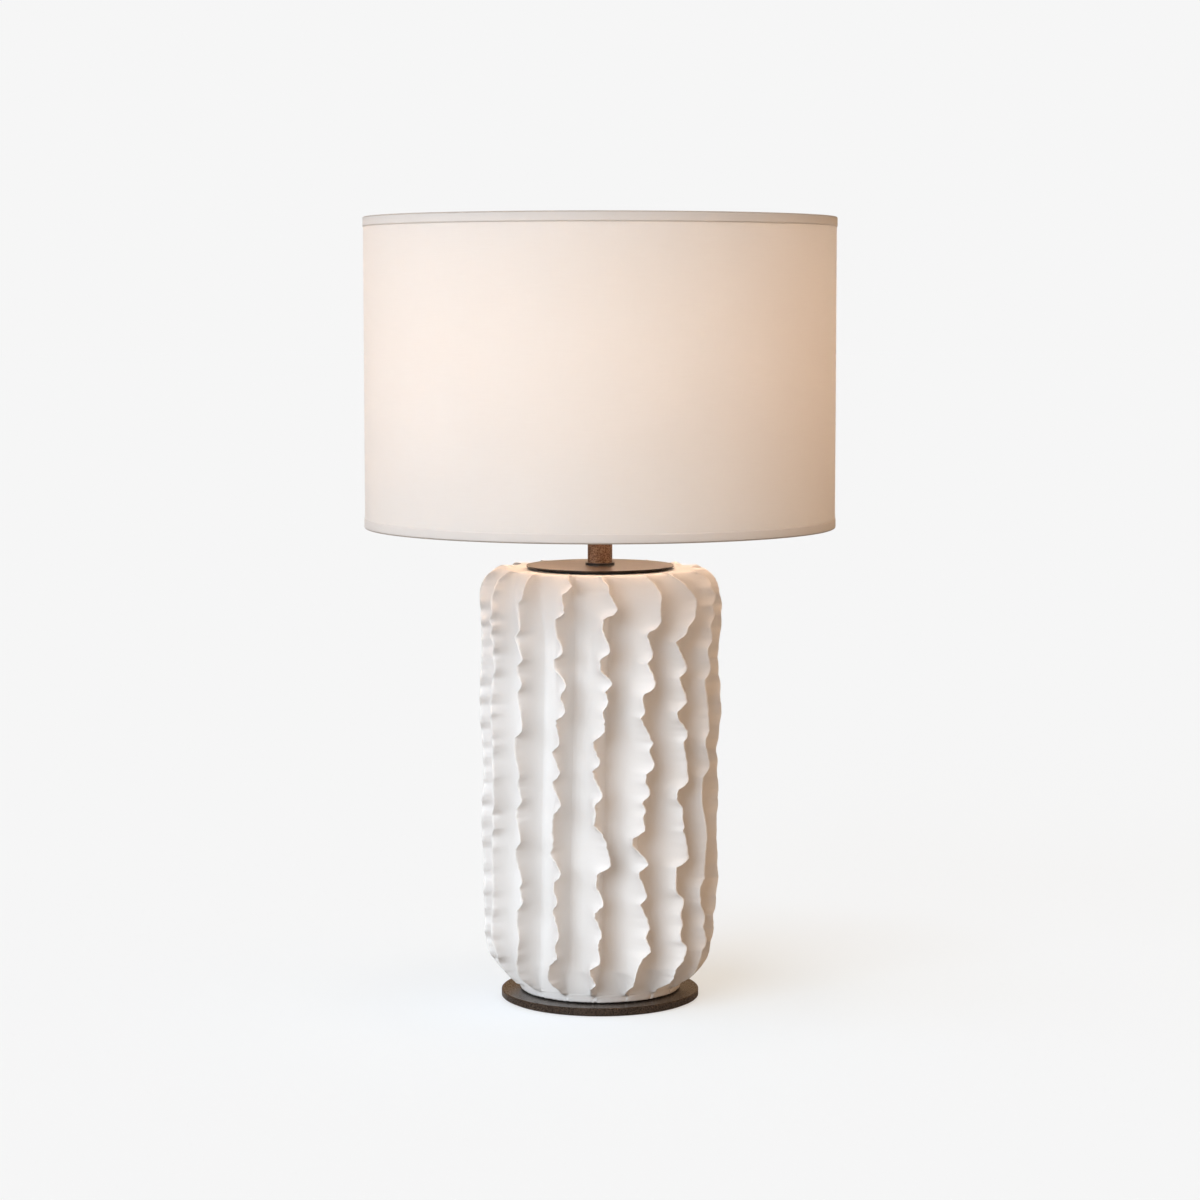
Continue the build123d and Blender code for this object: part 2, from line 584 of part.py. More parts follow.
def switch_leaf():
    """Brass leaf that the cam lifts, hung from the porcelain block."""
    cam_middle = HOLDER_BORE_RADIUS - BUSH_HEAD_LENGTH - KNOB_GAP - SWITCH_CAM_LENGTH / 2
    blade_z = NECK_TOP + SWITCH_HEIGHT + SWITCH_CAM_DIAMETER / 2 + LEAF_GAP
    hanger_x = cam_middle - SWITCH_CAM_LENGTH - LEAF_THICKNESS
    blade_start = hanger_x - LEAF_THICKNESS / 2
    blade_end = cam_middle + SWITCH_CAM_LENGTH / 2
    on_edge = (Align.MIN, Align.CENTER, Align.MIN)
    blade = Box(blade_end - blade_start, LEAF_WIDTH, LEAF_THICKNESS, align=on_edge)
    hanger = Box(LEAF_THICKNESS, LEAF_WIDTH, INSERT_BOTTOM - blade_z, align=on_edge)
    return Pos(blade_start, 0, blade_z) * (blade + hanger)


# Ring nut
def shade_ring():
    """Black fluted ring nut that clamps the shade's carrier on the lampholder's flange."""
    top = CARRIER_RING_TOP + RING_NUT_HEIGHT
    nut = ring(RING_NUT_RADIUS, RING_NUT_BORE_RADIUS, CARRIER_RING_TOP, top)
    for number in range(RING_NUT_FLUTES):
        turn = math.radians(number * 360 / RING_NUT_FLUTES)
        x = RING_NUT_RADIUS * math.cos(turn)
        y = RING_NUT_RADIUS * math.sin(turn)
        nut -= Pos(x, y, 0) * ring(RING_NUT_FLUTE_RADIUS, 0, CARRIER_RING_TOP, top)
    return nut


# Shade
def rim_wire(height):
    """Round wire hoop that keeps an end of the shade circular."""
    return Pos(0, 0, height) * Torus(RIM_WIRE_RADIUS, RIM_WIRE_DIAMETER / 2)


def carrier_arms(radius):
    """The carrier's arms, from its flat ring out and down to the lower hoop, with a chosen radius."""
    inner = CARRIER_RING_RADIUS - CARRIER_ARM_OVERLAP
    outer = RIM_WIRE_RADIUS - RIM_WIRE_DIAMETER / 2 + WELD_DEPTH
    inner_z = FLANGE_TOP + CARRIER_RING_THICKNESS / 2
    outer_z = SHADE_BOTTOM + RIM_WIRE_INSET
    length = math.hypot(outer - inner, outer_z - inner_z)
    arms = []
    for number in range(CARRIER_ARMS):
        turn = math.radians(CARRIER_ARM_FIRST_ANGLE + number * 360 / CARRIER_ARMS)
        start = (inner * math.cos(turn), inner * math.sin(turn), inner_z)
        run = outer - inner
        along = (run * math.cos(turn), run * math.sin(turn), outer_z - inner_z)
        plane = Plane(origin=start, z_dir=along)
        arms.append(plane * Cylinder(radius, length, align=(Align.CENTER, Align.CENTER, Align.MIN)))
    return arms


def shade_carrier():
    """White steel carrier: a flat ring that fits over the lampholder, with arms down to the lower hoop."""
    carrier = ring(CARRIER_RING_RADIUS, CARRIER_RING_BORE_RADIUS, FLANGE_TOP, CARRIER_RING_TOP)
    for arm in carrier_arms(CARRIER_ARM_DIAMETER / 2):
        carrier += arm
    return carrier


def trim(low, high, hem_from, inner_hem_from):
    """Folded fabric edging round a hoop: an outer hem, a narrow turn over the edge and an inner hem."""
    outer = SHADE_DIAMETER / 2
    edging = ring(outer, TRIM_INNER, low, high)
    edging += ring(outer, outer - TRIM_THICKNESS, *sorted((hem_from, low)))
    edging += ring(TRIM_INNER + TRIM_THICKNESS, TRIM_INNER, *sorted((inner_hem_from, low)))
    return edging


def shade_bottom_trim():
    """Lower edging, notched where the carrier's arms pass through it."""
    edge_top = SHADE_BOTTOM + TRIM_THICKNESS
    edging = trim(SHADE_BOTTOM, edge_top, SHADE_BOTTOM + TRIM_HEM, SHADE_BOTTOM + TRIM_INNER_HEM)
    for arm in carrier_arms(CARRIER_ARM_DIAMETER / 2 + ARM_NOTCH_CLEARANCE):
        edging -= arm
    return edging


def shade_top_trim():
    """Upper edging."""
    edge_bottom = SHADE_TOP - TRIM_THICKNESS
    return trim(edge_bottom, SHADE_TOP, SHADE_TOP - TRIM_HEM, SHADE_TOP - TRIM_INNER_HEM)


def shade_fabric():
    """Outer cloth of the drum."""
    edge = TRIM_THICKNESS + LAYER_GAP
    return ring(FABRIC_OUTER, FABRIC_OUTER - FABRIC_THICKNESS, SHADE_BOTTOM + edge, SHADE_TOP - edge)


def shade_liner():
    """Translucent plastic lining that the cloth is laminated to."""
    edge = TRIM_THICKNESS + LAYER_GAP
    return ring(LINER_OUTER, LINER_INNER, SHADE_BOTTOM + edge, SHADE_TOP - edge)


# Bulb
def bulb_contact():
    """Eyelet at the very bottom of the bulb, which rests on the lampholder's tongue."""
    return ring(BULB_EYELET_DIAMETER / 2, 0, BULB_BOTTOM, BULB_BOTTOM + BULB_EYELET_THICKNESS)


def bulb_insulator():
    """Dark conical insulator between eyelet and screw cap."""
    low = BULB_BOTTOM + BULB_EYELET_THICKNESS
    wide = BULB_CAP_RADIUS - BULB_INSULATOR_INSET
    return turned([(0, low), (BULB_EYELET_DIAMETER / 2, low), (wide, BULB_CAP_BOTTOM), (0, BULB_CAP_BOTTOM)])


def bulb_cap():
    """Screw cap of the bulb, a closed metal cup."""
    cup = ring(BULB_CAP_RADIUS, BULB_CAP_RADIUS - BULB_CAP_WALL, BULB_CAP_BOTTOM, BULB_CAP_TOP)
    return cup + ring(BULB_CAP_RADIUS, 0, BULB_CAP_BOTTOM, BULB_CAP_BOTTOM + BULB_CAP_WALL)


def bulb_housing():
    """White plastic cone between screw cap and globe, hollow, which holds the lamp's board."""
    plug = BULB_CAP_RADIUS - BULB_CAP_WALL - HOLDER_FIT
    plug_bottom = BULB_CAP_TOP - BULB_PLUG_DEPTH
    return turned(
        [
            (plug - BULB_WALL, plug_bottom),
            (plug, plug_bottom),
            (plug, BULB_CAP_TOP),
            (BULB_HOUSING_LOWER_RADIUS, BULB_CAP_TOP),
            (BULB_HOUSING_UPPER_RADIUS, BULB_HOUSING_TOP),
            (BULB_HOUSING_UPPER_RADIUS - BULB_WALL, BULB_HOUSING_TOP),
            (plug - BULB_WALL, BULB_CAP_TOP + BULB_WALL),
        ]
    )


def led_board():
    """Round light-emitting board across the top of the housing, let into its mouth."""
    slope = (BULB_HOUSING_UPPER_RADIUS - BULB_HOUSING_LOWER_RADIUS) / BULB_HOUSING_LENGTH
    top = BULB_HOUSING_TOP - BULB_WALL
    bottom = top - LED_BOARD_THICKNESS
    mouth = BULB_HOUSING_UPPER_RADIUS - BULB_WALL
    inner_slope = slope + BULB_WALL / BULB_HOUSING_LENGTH
    radius = mouth - (BULB_HOUSING_TOP - bottom) * inner_slope - HOLDER_FIT
    return ring(radius, 0, bottom, top)


def globe_outline(sphere_radius, neck_radius, neck_z, top_z):
    """Where the globe's straight neck meets its sphere, and a point half way from there to the top."""
    centre = top_z - sphere_radius
    reach = math.hypot(neck_radius, centre - neck_z)
    tangent = math.sqrt(reach**2 - sphere_radius**2)
    bearing = math.atan2(centre - neck_z, -neck_radius) - math.atan2(sphere_radius, tangent)
    touch = (neck_radius + tangent * math.cos(bearing), neck_z + tangent * math.sin(bearing))
    start_turn = math.atan2(touch[1] - centre, touch[0])
    middle_turn = (start_turn + math.pi / 2) / 2
    middle = (sphere_radius * math.cos(middle_turn), centre + sphere_radius * math.sin(middle_turn))
    return touch, middle


def globe_solid(sphere_radius, neck_radius, neck_z, top_z):
    """Solid of revolution inside one skin of the globe."""
    touch, middle = globe_outline(sphere_radius, neck_radius, neck_z, top_z)
    return turned_edges(
        [
            line_in_section((0, neck_z), (neck_radius, neck_z)),
            line_in_section((neck_radius, neck_z), touch),
            arc_in_section(touch, middle, (0, top_z)),
            line_in_section((0, top_z), (0, neck_z)),
        ]
    )


def bulb_globe():
    """Opal globe of the bulb, a thin shell open at the bottom."""
    outer_radius = BULB_GLOBE_DIAMETER / 2
    neck = BULB_HOUSING_UPPER_RADIUS
    outer = globe_solid(outer_radius, neck, BULB_HOUSING_TOP, BULB_TOP)
    inner = globe_solid(outer_radius - BULB_WALL, neck - BULB_WALL, BULB_HOUSING_TOP, BULB_TOP - BULB_WALL)
    return outer - inner


PARTS = {
    "base_felt": base_felt,
    "base_plate": base_plate,
    "base_gasket": base_gasket,
    "rod_washer": rod_washer,
    "rod_nut": rod_nut,
    "threaded_rod": threaded_rod,
    "bottom_centring_bush": bottom_centring_bush,
    "ceramic_pot": ceramic_pot,
    "cord_grommet": cord_grommet,
    "top_centring_bush": top_centring_bush,
    "top_gasket": top_gasket,
    "cap_disc": cap_disc,
    "neck_collar": neck_collar,
    "neck_tube": neck_tube,
    "holder_cap": holder_cap,
    "holder_lock_screw": holder_lock_screw,
    "holder_shell": holder_shell,
    "holder_insert": holder_insert,
    "terminal_screws": terminal_screws,
    "screw_shell": screw_shell,
    "centre_contact": centre_contact,
    "switch_bush": switch_bush,
    "switch_shaft": switch_shaft,
    "switch_knob": switch_knob,
    "switch_leaf": switch_leaf,
    "shade_ring": shade_ring,
    "shade_carrier": shade_carrier,
    "shade_bottom_wire": lambda: rim_wire(SHADE_BOTTOM + RIM_WIRE_INSET),
    "shade_top_wire": lambda: rim_wire(SHADE_TOP - RIM_WIRE_INSET),
    "shade_bottom_trim": shade_bottom_trim,
    "shade_top_trim": shade_top_trim,
    "shade_fabric": shade_fabric,
    "shade_liner": shade_liner,
    "bulb_contact": bulb_contact,
    "bulb_insulator": bulb_insulator,
    "bulb_cap": bulb_cap,
    "bulb_housing": bulb_housing,
    "led_board": led_board,
    "bulb_globe": bulb_globe,
}

os.makedirs("parts", exist_ok=True)
for node, build in PARTS.items():
    export_step(build(), f"parts/{node}.step")
print("parts written:", len(PARTS), "shade from", round(SHADE_BOTTOM, 2), "to", round(SHADE_TOP, 2))
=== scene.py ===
# %% [markdown]
# # A ceramic table lamp, finished in Blender
# The lamp is a white clay pot with upright, ruffled fins on a flat bronze plate, with a slim bronze neck and a
# straight cloth drum shade. Its pieces come in from the packed frame at their real size, in metres, with +Z up
# and the front towards -Y. This script adds what only a surface can show: the torn edges of the clay, the
# weave of the shade and the finish of every part. Lengths below are written in millimetres and multiplied by
# MM, because a maker's drawing of a lamp this size would be in millimetres.

# %% Load the frame
import json
import math
import bpy
import numpy as np
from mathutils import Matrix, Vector


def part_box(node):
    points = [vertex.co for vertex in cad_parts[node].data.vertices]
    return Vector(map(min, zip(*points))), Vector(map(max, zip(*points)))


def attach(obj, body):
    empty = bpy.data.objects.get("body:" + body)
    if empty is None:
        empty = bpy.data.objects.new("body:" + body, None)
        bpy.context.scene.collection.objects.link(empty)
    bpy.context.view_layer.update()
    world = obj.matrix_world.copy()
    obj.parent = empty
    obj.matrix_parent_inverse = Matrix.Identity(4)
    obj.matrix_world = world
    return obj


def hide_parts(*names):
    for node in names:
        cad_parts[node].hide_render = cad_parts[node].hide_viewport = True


MM = 0.001
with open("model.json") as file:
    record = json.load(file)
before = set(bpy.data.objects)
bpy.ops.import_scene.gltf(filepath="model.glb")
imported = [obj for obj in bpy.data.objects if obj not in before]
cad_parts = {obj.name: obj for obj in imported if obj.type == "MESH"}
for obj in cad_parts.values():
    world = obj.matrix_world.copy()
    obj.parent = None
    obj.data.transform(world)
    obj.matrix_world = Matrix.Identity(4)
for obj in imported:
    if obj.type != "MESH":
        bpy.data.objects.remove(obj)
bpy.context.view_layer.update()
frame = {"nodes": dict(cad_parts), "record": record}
nodes = frame["nodes"]

# %% [markdown]
# ## The camera
# The photograph looks at the lamp from a little above the neck, from over two metres away. A long lens keeps the
# sides of the drum nearly parallel. The camera could aim at the lamp with a constraint, but a plain place and
# tilt are easier to read, and nothing is left live in the file.

# %% Camera
CAMERA_DISTANCE = 2.3385
CAMERA_HEIGHT = 0.5208
CAMERA_TILT = math.radians(84.606)
CAMERA_LENS = 94.36

camera_data = bpy.data.cameras.new("camera")
camera_data.lens = CAMERA_LENS
camera = bpy.data.objects.new("camera", camera_data)
camera.location = (0, -CAMERA_DISTANCE, CAMERA_HEIGHT)
camera.rotation_euler = (CAMERA_TILT, 0, 0)
bpy.context.scene.collection.objects.link(camera)
bpy.context.scene.camera = camera
bpy.context.scene.view_settings.view_transform = "Standard"
print("camera at", tuple(round(value, 3) for value in camera.location), "lens", CAMERA_LENS, "mm")

# %% [markdown]
# ## Surfaces from arrays
# Every new piece is a grid of points worked out with numpy. A grid may close on itself round the lamp, along its
# section, or both ways, and its faces follow from the row and column numbers alone. Blender has primitives for
# rings and tubes, but a formula gives each row its own shape, which the clay and the cloth need.


# %% Grids and meshes
def grid_faces(rows, columns, rows_close=False, columns_close=False):
    """Four-sided faces of a grid of points, with the last row or column joined to the first if it closes."""
    row = np.arange(rows if rows_close else rows - 1)[:, None]
    column = np.arange(columns if columns_close else columns - 1)[None, :]
    next_row = (row + 1) % rows
    next_column = (column + 1) % columns
    corners = (
        row * columns + column,
        row * columns + next_column,
        next_row * columns + next_column,
        next_row * columns + column,
    )
    return np.stack(np.broadcast_arrays(*corners), -1).reshape(-1, 4)


def outward(points, faces):
    """The same faces, turned round if they enclose a negative volume, so that they point outwards."""
    a, b, c, d = (points[faces[:, corner]] for corner in range(4))
    volume = np.sum(np.cross(b - a, c - a) * a) + np.sum(np.cross(c - a, d - a) * a)
    return faces[:, ::-1] if volume < 0 else faces


def mesh_piece(name, points, faces, uv=None):
    """A smooth-shaded object at the origin with its place in its mesh, and a UV map in metres if one is given."""
    faces = outward(points, faces)
    mesh = bpy.data.meshes.new(name)
    mesh.from_pydata(points.tolist(), [], faces.tolist())
    mesh.shade_smooth()
    if uv is not None:
        corner_points = np.empty(len(mesh.loops), np.int32)
        mesh.loops.foreach_get("vertex_index", corner_points)
        layer = mesh.uv_layers.new(name="UVMap")
        layer.data.foreach_set("uv", uv[corner_points].astype(np.float32).ravel())
    piece = bpy.data.objects.new(name, mesh)
    bpy.context.scene.collection.objects.link(piece)
    print(name, len(mesh.vertices), "points,", len(mesh.polygons), "faces")
    return piece


def round_the_lamp(radius, angle, height):
    """Points at a radius, an angle that is 0 at the front and grows to the lamp's right, and a height."""
    radius, angle, height = np.broadcast_arrays(radius, angle, height)
    return np.stack([radius * np.sin(angle), -radius * np.cos(angle), height], -1).reshape(-1, 3)


print("a grid of 3 by 4 points has", len(grid_faces(3, 4)), "faces")

# %% [markdown]
# ## The clay pot: the ridge
# The real pot is a thick cylinder whose fins were pulled out of the wet clay and torn along their edges. Two
# outlines describe it: the ridge, which the fin edges follow, and the valley between two fins. A lathe would give
# only one outline, so each point of the pot is a blend between the two. This cell draws the ridge, from the foot
# ring up the side and over the shoulder to the dished seat of the bronze disc, as lines and arcs in millimetres of
# radius and height.

# %% Ridge outline
POT_BOTTOM = 7.6
FOOT_RADIUS = 59.3
ANKLE = (60.2, 12.0)
SKIRT = (68.0, 14.8)
BELLY_CENTRE = (25.0, 60.0)
BELLY_RADIUS = 62.4
SHOULDER_CENTRE = (70.1, 305.8)
SHOULDER_RADIUS = 20.1
CREST = (77.0, 324.7)
BROW = (68.0, 323.9)
SEAT = (58.0, 323.4)
FOOT_STEP = 1.2
ROW_STEP = 1.65
TOP_STEP = 1.8


def straight(start, end, step):
    """Points along a line from a start to just before its end, a step apart."""
    count = max(1, round(math.dist(start, end) / step))
    share = np.arange(count)[:, None] / count
    return np.array(start) + share * (np.array(end) - np.array(start))


def arc(centre, radius, start_angle, end_angle, step):
    """Points along an arc from a start angle to just before its end angle, a step apart."""
    count = max(1, round(abs(end_angle - start_angle) * radius / step))
    angle = start_angle + (end_angle - start_angle) * np.arange(count) / count
    return np.array(centre) + radius * np.stack([np.cos(angle), np.sin(angle)], -1)


belly_start = math.atan2(SKIRT[1] - BELLY_CENTRE[1], SKIRT[0] - BELLY_CENTRE[0])
shoulder_end = math.atan2(CREST[1] - SHOULDER_CENTRE[1], CREST[0] - SHOULDER_CENTRE[0])
belly_top = (BELLY_CENTRE[0] + BELLY_RADIUS, BELLY_CENTRE[1])
shoulder_start = (SHOULDER_CENTRE[0] + SHOULDER_RADIUS, SHOULDER_CENTRE[1])
outside = {
    "foot": straight((FOOT_RADIUS, POT_BOTTOM), ANKLE, FOOT_STEP),
    "skirt": straight(ANKLE, SKIRT, TOP_STEP),
    "belly": arc(BELLY_CENTRE, BELLY_RADIUS, belly_start, 0, ROW_STEP),
    "side": straight(belly_top, shoulder_start, ROW_STEP),
    "shoulder": arc(SHOULDER_CENTRE, SHOULDER_RADIUS, 0, shoulder_end, ROW_STEP),
    "crest": straight(CREST, BROW, TOP_STEP),
    "brow": straight(BROW, SEAT, TOP_STEP),
}
ridge = np.concatenate(list(outside.values()))
part = np.concatenate([np.full(len(points), name, "U8") for name, points in outside.items()])
ridge_radius, ridge_height = ridge.T
print(len(ridge), "rows up the outside of the pot")

# %% [markdown]
# ## The clay pot: the valley
# On the real pot the valleys run nearly straight up. They close in over the foot ring and open towards the
# shoulder, where the fins grow shallow and die out under the disc. The valley could be a second drawn outline,
# but then its rows would have to be matched with the ridge's. Here each row of the ridge gets its own valley
# point, worked out from its height, so the rows match by themselves.

# %% Valley outline
VALLEY_RADIUS = 66.0
VALLEY_FLARE = 7.0
FLARE_START = 272.0
VALLEY_TOP = (68.0, 324.0)
SHOULDER_CURVE = 0.99
FOOT_PULL_TOP = 34.0
FOOT_PULL_POWER = 1.5
FOOT_GAP = 0.3
SEAT_GAP = 0.2

share_up = np.clip((ridge_height - SHOULDER_CENTRE[1]) / (CREST[1] - SHOULDER_CENTRE[1]), 0, 1)
shoulder_rise = SHOULDER_CENTRE[1] + share_up * (VALLEY_TOP[1] - SHOULDER_CENTRE[1])
valley_height = np.where(part == "shoulder", shoulder_rise, ridge_height)
flare = np.clip((ridge_height - FLARE_START) / (SHOULDER_CENTRE[1] - FLARE_START), 0, 1)
flared = VALLEY_RADIUS + VALLEY_FLARE * flare * flare * (3 - 2 * flare)
valley_radius = VALLEY_TOP[0] + (flared - VALLEY_TOP[0]) * np.sqrt(1 - SHOULDER_CURVE * share_up**2)
foot_pull = np.clip((FOOT_PULL_TOP - ridge_height) / (FOOT_PULL_TOP - POT_BOTTOM), 0, 1)
valley_radius = valley_radius - (VALLEY_RADIUS - FOOT_RADIUS - FOOT_GAP) * foot_pull**FOOT_PULL_POWER
over_top = np.isin(part, ("crest", "brow"))
along_top = (CREST[0] - ridge_radius) / (CREST[0] - SEAT[0])
top_radius = VALLEY_TOP[0] - along_top * (VALLEY_TOP[0] - SEAT[0] + SEAT_GAP)
top_height = VALLEY_TOP[1] + along_top * (SEAT[1] - VALLEY_TOP[1])
valley_radius = np.where(over_top, top_radius, valley_radius)
valley_height = np.where(over_top, top_height, valley_height)
print("the valley lies", round(float((ridge_radius - valley_radius).max()), 1), "mm behind the ridge at most")

# %% [markdown]
# ## The clay pot: one fin
# Looked at from above, a fin rises in a hollow ramp from the valley to a thin edge, and then drops straight back
# to the next valley. A fin could be sculpted, but then all seventeen would have to be. Here a ramp is a power
# curve, flat in the valley and steep near the edge, and each fin gets its own columns, crowded towards the edge,
# where the clay is torn. The fins in front stand where the photograph shows them, in degrees round from the front,
# and the others fill the back evenly.

# %% Columns round the pot
FIN_EDGES = (-63.4, -41.4, -20.0, 0.9, 23.0, 44.0, 63.5, 86.0)
FIN_COUNT = 17
EDGE_WIDTH = 1.1
VALLEY_FILLET = 3.0
FILLET_POWER = 5
RAMP_POWER = 3.2
RAMP_COLUMNS = 11
RAMP_CROWDING = 1.5
EDGE_SHARES = (0.985, 1.0, 0.985)
WALL_SHARES = (0.9, 0.76, 0.6, 0.44, 0.3, 0.18, 0.09, 0.03)

hidden_fins = FIN_COUNT - len(FIN_EDGES)
hidden_step = (360 - (FIN_EDGES[-1] - FIN_EDGES[0])) / (hidden_fins + 1)
hidden_edges = FIN_EDGES[-1] + hidden_step * np.arange(1, hidden_fins + 1)
edge_angles = np.radians(np.array([*FIN_EDGES, *hidden_edges]))
previous_angles = np.roll(edge_angles, 1)
previous_angles[0] -= 2 * math.pi

ramp_place = 1 - (1 - np.arange(RAMP_COLUMNS) / RAMP_COLUMNS) ** RAMP_CROWDING
edge_place = np.linspace(0, 1, len(EDGE_SHARES))
wall_share = np.array(WALL_SHARES)
fin_share = np.concatenate([ramp_place**RAMP_POWER, EDGE_SHARES, wall_share])
valley_fillet_angle = VALLEY_FILLET / VALLEY_RADIUS
edge_width_angle = EDGE_WIDTH / shoulder_start[0]


def fin_angles(previous, edge):
    """Angles of one fin's columns: up the ramp, across the thin edge and down the wall into the next valley."""
    start = previous + valley_fillet_angle
    ramp = start + (edge - edge_width_angle - start) * ramp_place
    across = edge - edge_width_angle * (1 - edge_place)
    wall = edge + valley_fillet_angle * (1 - wall_share) ** FILLET_POWER
    return np.concatenate([ramp, across, wall])


column_angle = np.concatenate([fin_angles(a, b) for a, b in zip(previous_angles, edge_angles)])
column_share = np.tile(fin_share, FIN_COUNT)
column_fin = np.repeat(np.arange(FIN_COUNT), len(fin_share))
print(FIN_COUNT, "fins,", len(column_angle), "columns")

# %% [markdown]
# ## The clay pot: turning points of the torn edges
# Each fin's edge waves to and fro in round lobes with sharp notches between them. A noise texture could ruffle
# the edges, but its waves are as round in the notches as on the lobes. So the fins in view follow lists of turning
# points, each a height and a sideways place in millimetres, given one by one. The fins at the far left and
# right and those at the back get turning points of the same kind from a seeded draw.

# %% Turning points
LOBES = {
    1: (
        (28, -3), (44, 0), (55, 2), (65, -2), (84, 5), (92, 1), (100, 4), (114, -2), (130, 4), (146, -4), (159, 2),
        (168, -2), (178, 1), (196, -5), (212, 2), (232, -6), (245, 0), (251, -4), (264, 3), (277, -5), (286, 0),
        (300, -3), (310, 2), (319, 0),
    ),
    2: (
        (20, -2), (27, -5), (39, -3), (46, 4), (54, 2), (62, 5), (80, -2), (87, 2), (96, -2), (108, 4), (122, -6),
        (128, -3), (138, -4), (158, 3), (171, -4), (182, 2), (196, -4), (204, 2), (218, -2), (227, 5), (237, 0),
        (246, 4), (258, -7), (271, 1), (283, -4), (300, 4), (311, 1), (318, 7), (323, 1),
    ),
    3: (
        (19, -4), (27, 0), (34, -4), (45, 4), (54, 2), (65, 5), (76, -1), (87, 5), (99, -2), (115, 7), (135, 2),
        (145, -6), (152, -3), (158, -4), (166, 3), (183, -5), (190, 1), (202, -6), (213, 1), (227, -2), (234, 2),
        (242, -1), (248, 5), (257, -4), (272, 4), (287, -2), (301, 9), (312, 2), (317, 2),
        (321, -2), (325, -5),
    ),
    4: (
        (28, -4), (46, -1), (51, 5), (61, 1), (68, 5), (85, -1), (91, 4), (106, -2), (116, 4), (129, -9), (141, 0),
        (150, -3), (154, -1), (159, -4), (167, 1), (174, -2), (187, 5), (198, 1), (203, 4), (222, -6), (227, -3),
        (233, -5), (246, 4), (262, -2), (267, 3), (281, -2), (290, 7),
        (300, 6), (313, 5.5), (318, 2.5), (324, -1),
    ),
    5: (
        (27, -4), (42, 2), (50, 5), (55, 0), (67, 3), (72, 1), (84, 4), (92, -4), (116, 7), (136, 2), (152, 1),
        (160, -4), (173, 6), (190, 2), (201, -3), (208, 1), (219, -9), (232, 0), (248, -5), (256, 2), (275, -9),
        (283, 0), (293, 6.5), (305, 7), (314, 1), (323, -7),
    ),
    6: (
        (30, -2), (50, 2), (60, -2), (68, 1), (77, -4), (98, 2), (128, 2), (152, -4), (180, 3), (196, -5), (208, 0),
        (224, 1), (242, -4), (252, 2), (265, -3), (275, 3), (283, 0), (292, 5),
        (298, 1), (306, 5), (312, 0), (319, 2), (324, -3),
    ),
}
DRAWN_POINTS = 44
DRAWN_START = 18
DRAWN_STEP = (4.5, 12.0)
DRAWN_PLACE = (0.6, 2.6)
DRAWN_DRIFT = 0.8
draw = np.random.default_rng(7)


def drawn_lobes():
    """Turning points for a hidden fin: notches and lobes by turns, at drawn heights and sideways places."""
    height = DRAWN_START + np.cumsum(draw.uniform(*DRAWN_STEP, DRAWN_POINTS))
    place = draw.uniform(*DRAWN_PLACE, DRAWN_POINTS) * np.where(np.arange(DRAWN_POINTS) % 2, 1, -1)
    return np.stack([height, place + draw.normal(0, DRAWN_DRIFT, DRAWN_POINTS)], -1)


fin_lobes = [LOBES[number] if number in LOBES else drawn_lobes() for number in range(FIN_COUNT)]
print(sum(len(lobes) for lobes in fin_lobes), "turning points on", FIN_COUNT, "fins")

# %% [markdown]
# ## The clay pot: the line of a torn edge
# Clay that is pulled from below tears in hooks. Going down from a notch, the edge eases outwards over the whole
# lobe, and just under the lobe it is cut back within a few millimetres. A smooth spline through the turning points
# would miss that hook, so two power curves join them, one for each direction. The line is then parted in two: its
# slow swing bends the whole fin, while the quick rest, with a little seeded roughness, stays near the edge.

# %% Edge lines
UNDERCUT = 6.5
UNDERCUT_POWER = 1.7
EASE_POWER = 1.25
SEAT_FADE = 10.0
SLOW_LENGTH = 9.0
NICK = 0.34


def edge_wave(turning_points, height):
    """Sideways place of a fin's edge at each height: cut back just under a lobe, easing in slowly above it."""
    heights, places = np.array(turning_points, float).T
    index = np.clip(np.searchsorted(heights, height) - 1, 0, len(heights) - 2)
    bottom, top = heights[index], heights[index + 1]
    below, above = places[index], places[index + 1]
    cut_depth = np.minimum(top - bottom, UNDERCUT)
    outwards = 1 - (1 - np.clip((height - top + cut_depth) / cut_depth, 0, 1)) ** UNDERCUT_POWER
    inwards = np.clip((height - bottom) / (top - bottom), 0, 1) ** EASE_POWER
    return below + (above - below) * np.where(below < above, outwards, inwards)


edge_rows = np.stack([edge_wave(lobes, ridge_height) for lobes in fin_lobes], -1)
edge_rows *= np.clip((ridge_radius - SEAT[0]) / SEAT_FADE, 0, 1)[:, None]
apart = (ridge_height[:, None] - ridge_height[None, :]) / SLOW_LENGTH
nearness = np.exp(-(apart**2) / 2)
slow_rows = nearness @ edge_rows / nearness.sum(1, keepdims=True)
quick_rows = edge_rows - slow_rows + draw.normal(0, NICK, edge_rows.shape)
print("edges wave by up to", round(float(np.abs(edge_rows).max()), 1), "mm")

# %% [markdown]
# ## The clay pot: its skin
# The real fins bend as thin sheets: a ruffle at the edge fades towards the valley, on the ramp and on the wall
# alike. They are fuller low down, as if the clay had sagged a little, and they lean round the pot towards the
# top. The foot ring is left rough, as clay is where it was cut from the wheel. A Displace modifier on a finished
# cylinder could show some of this, but its points only move straight out, and it would need many more faces.
# Here radius, angle and height of every point are worked out together, so that clay can also hang over.

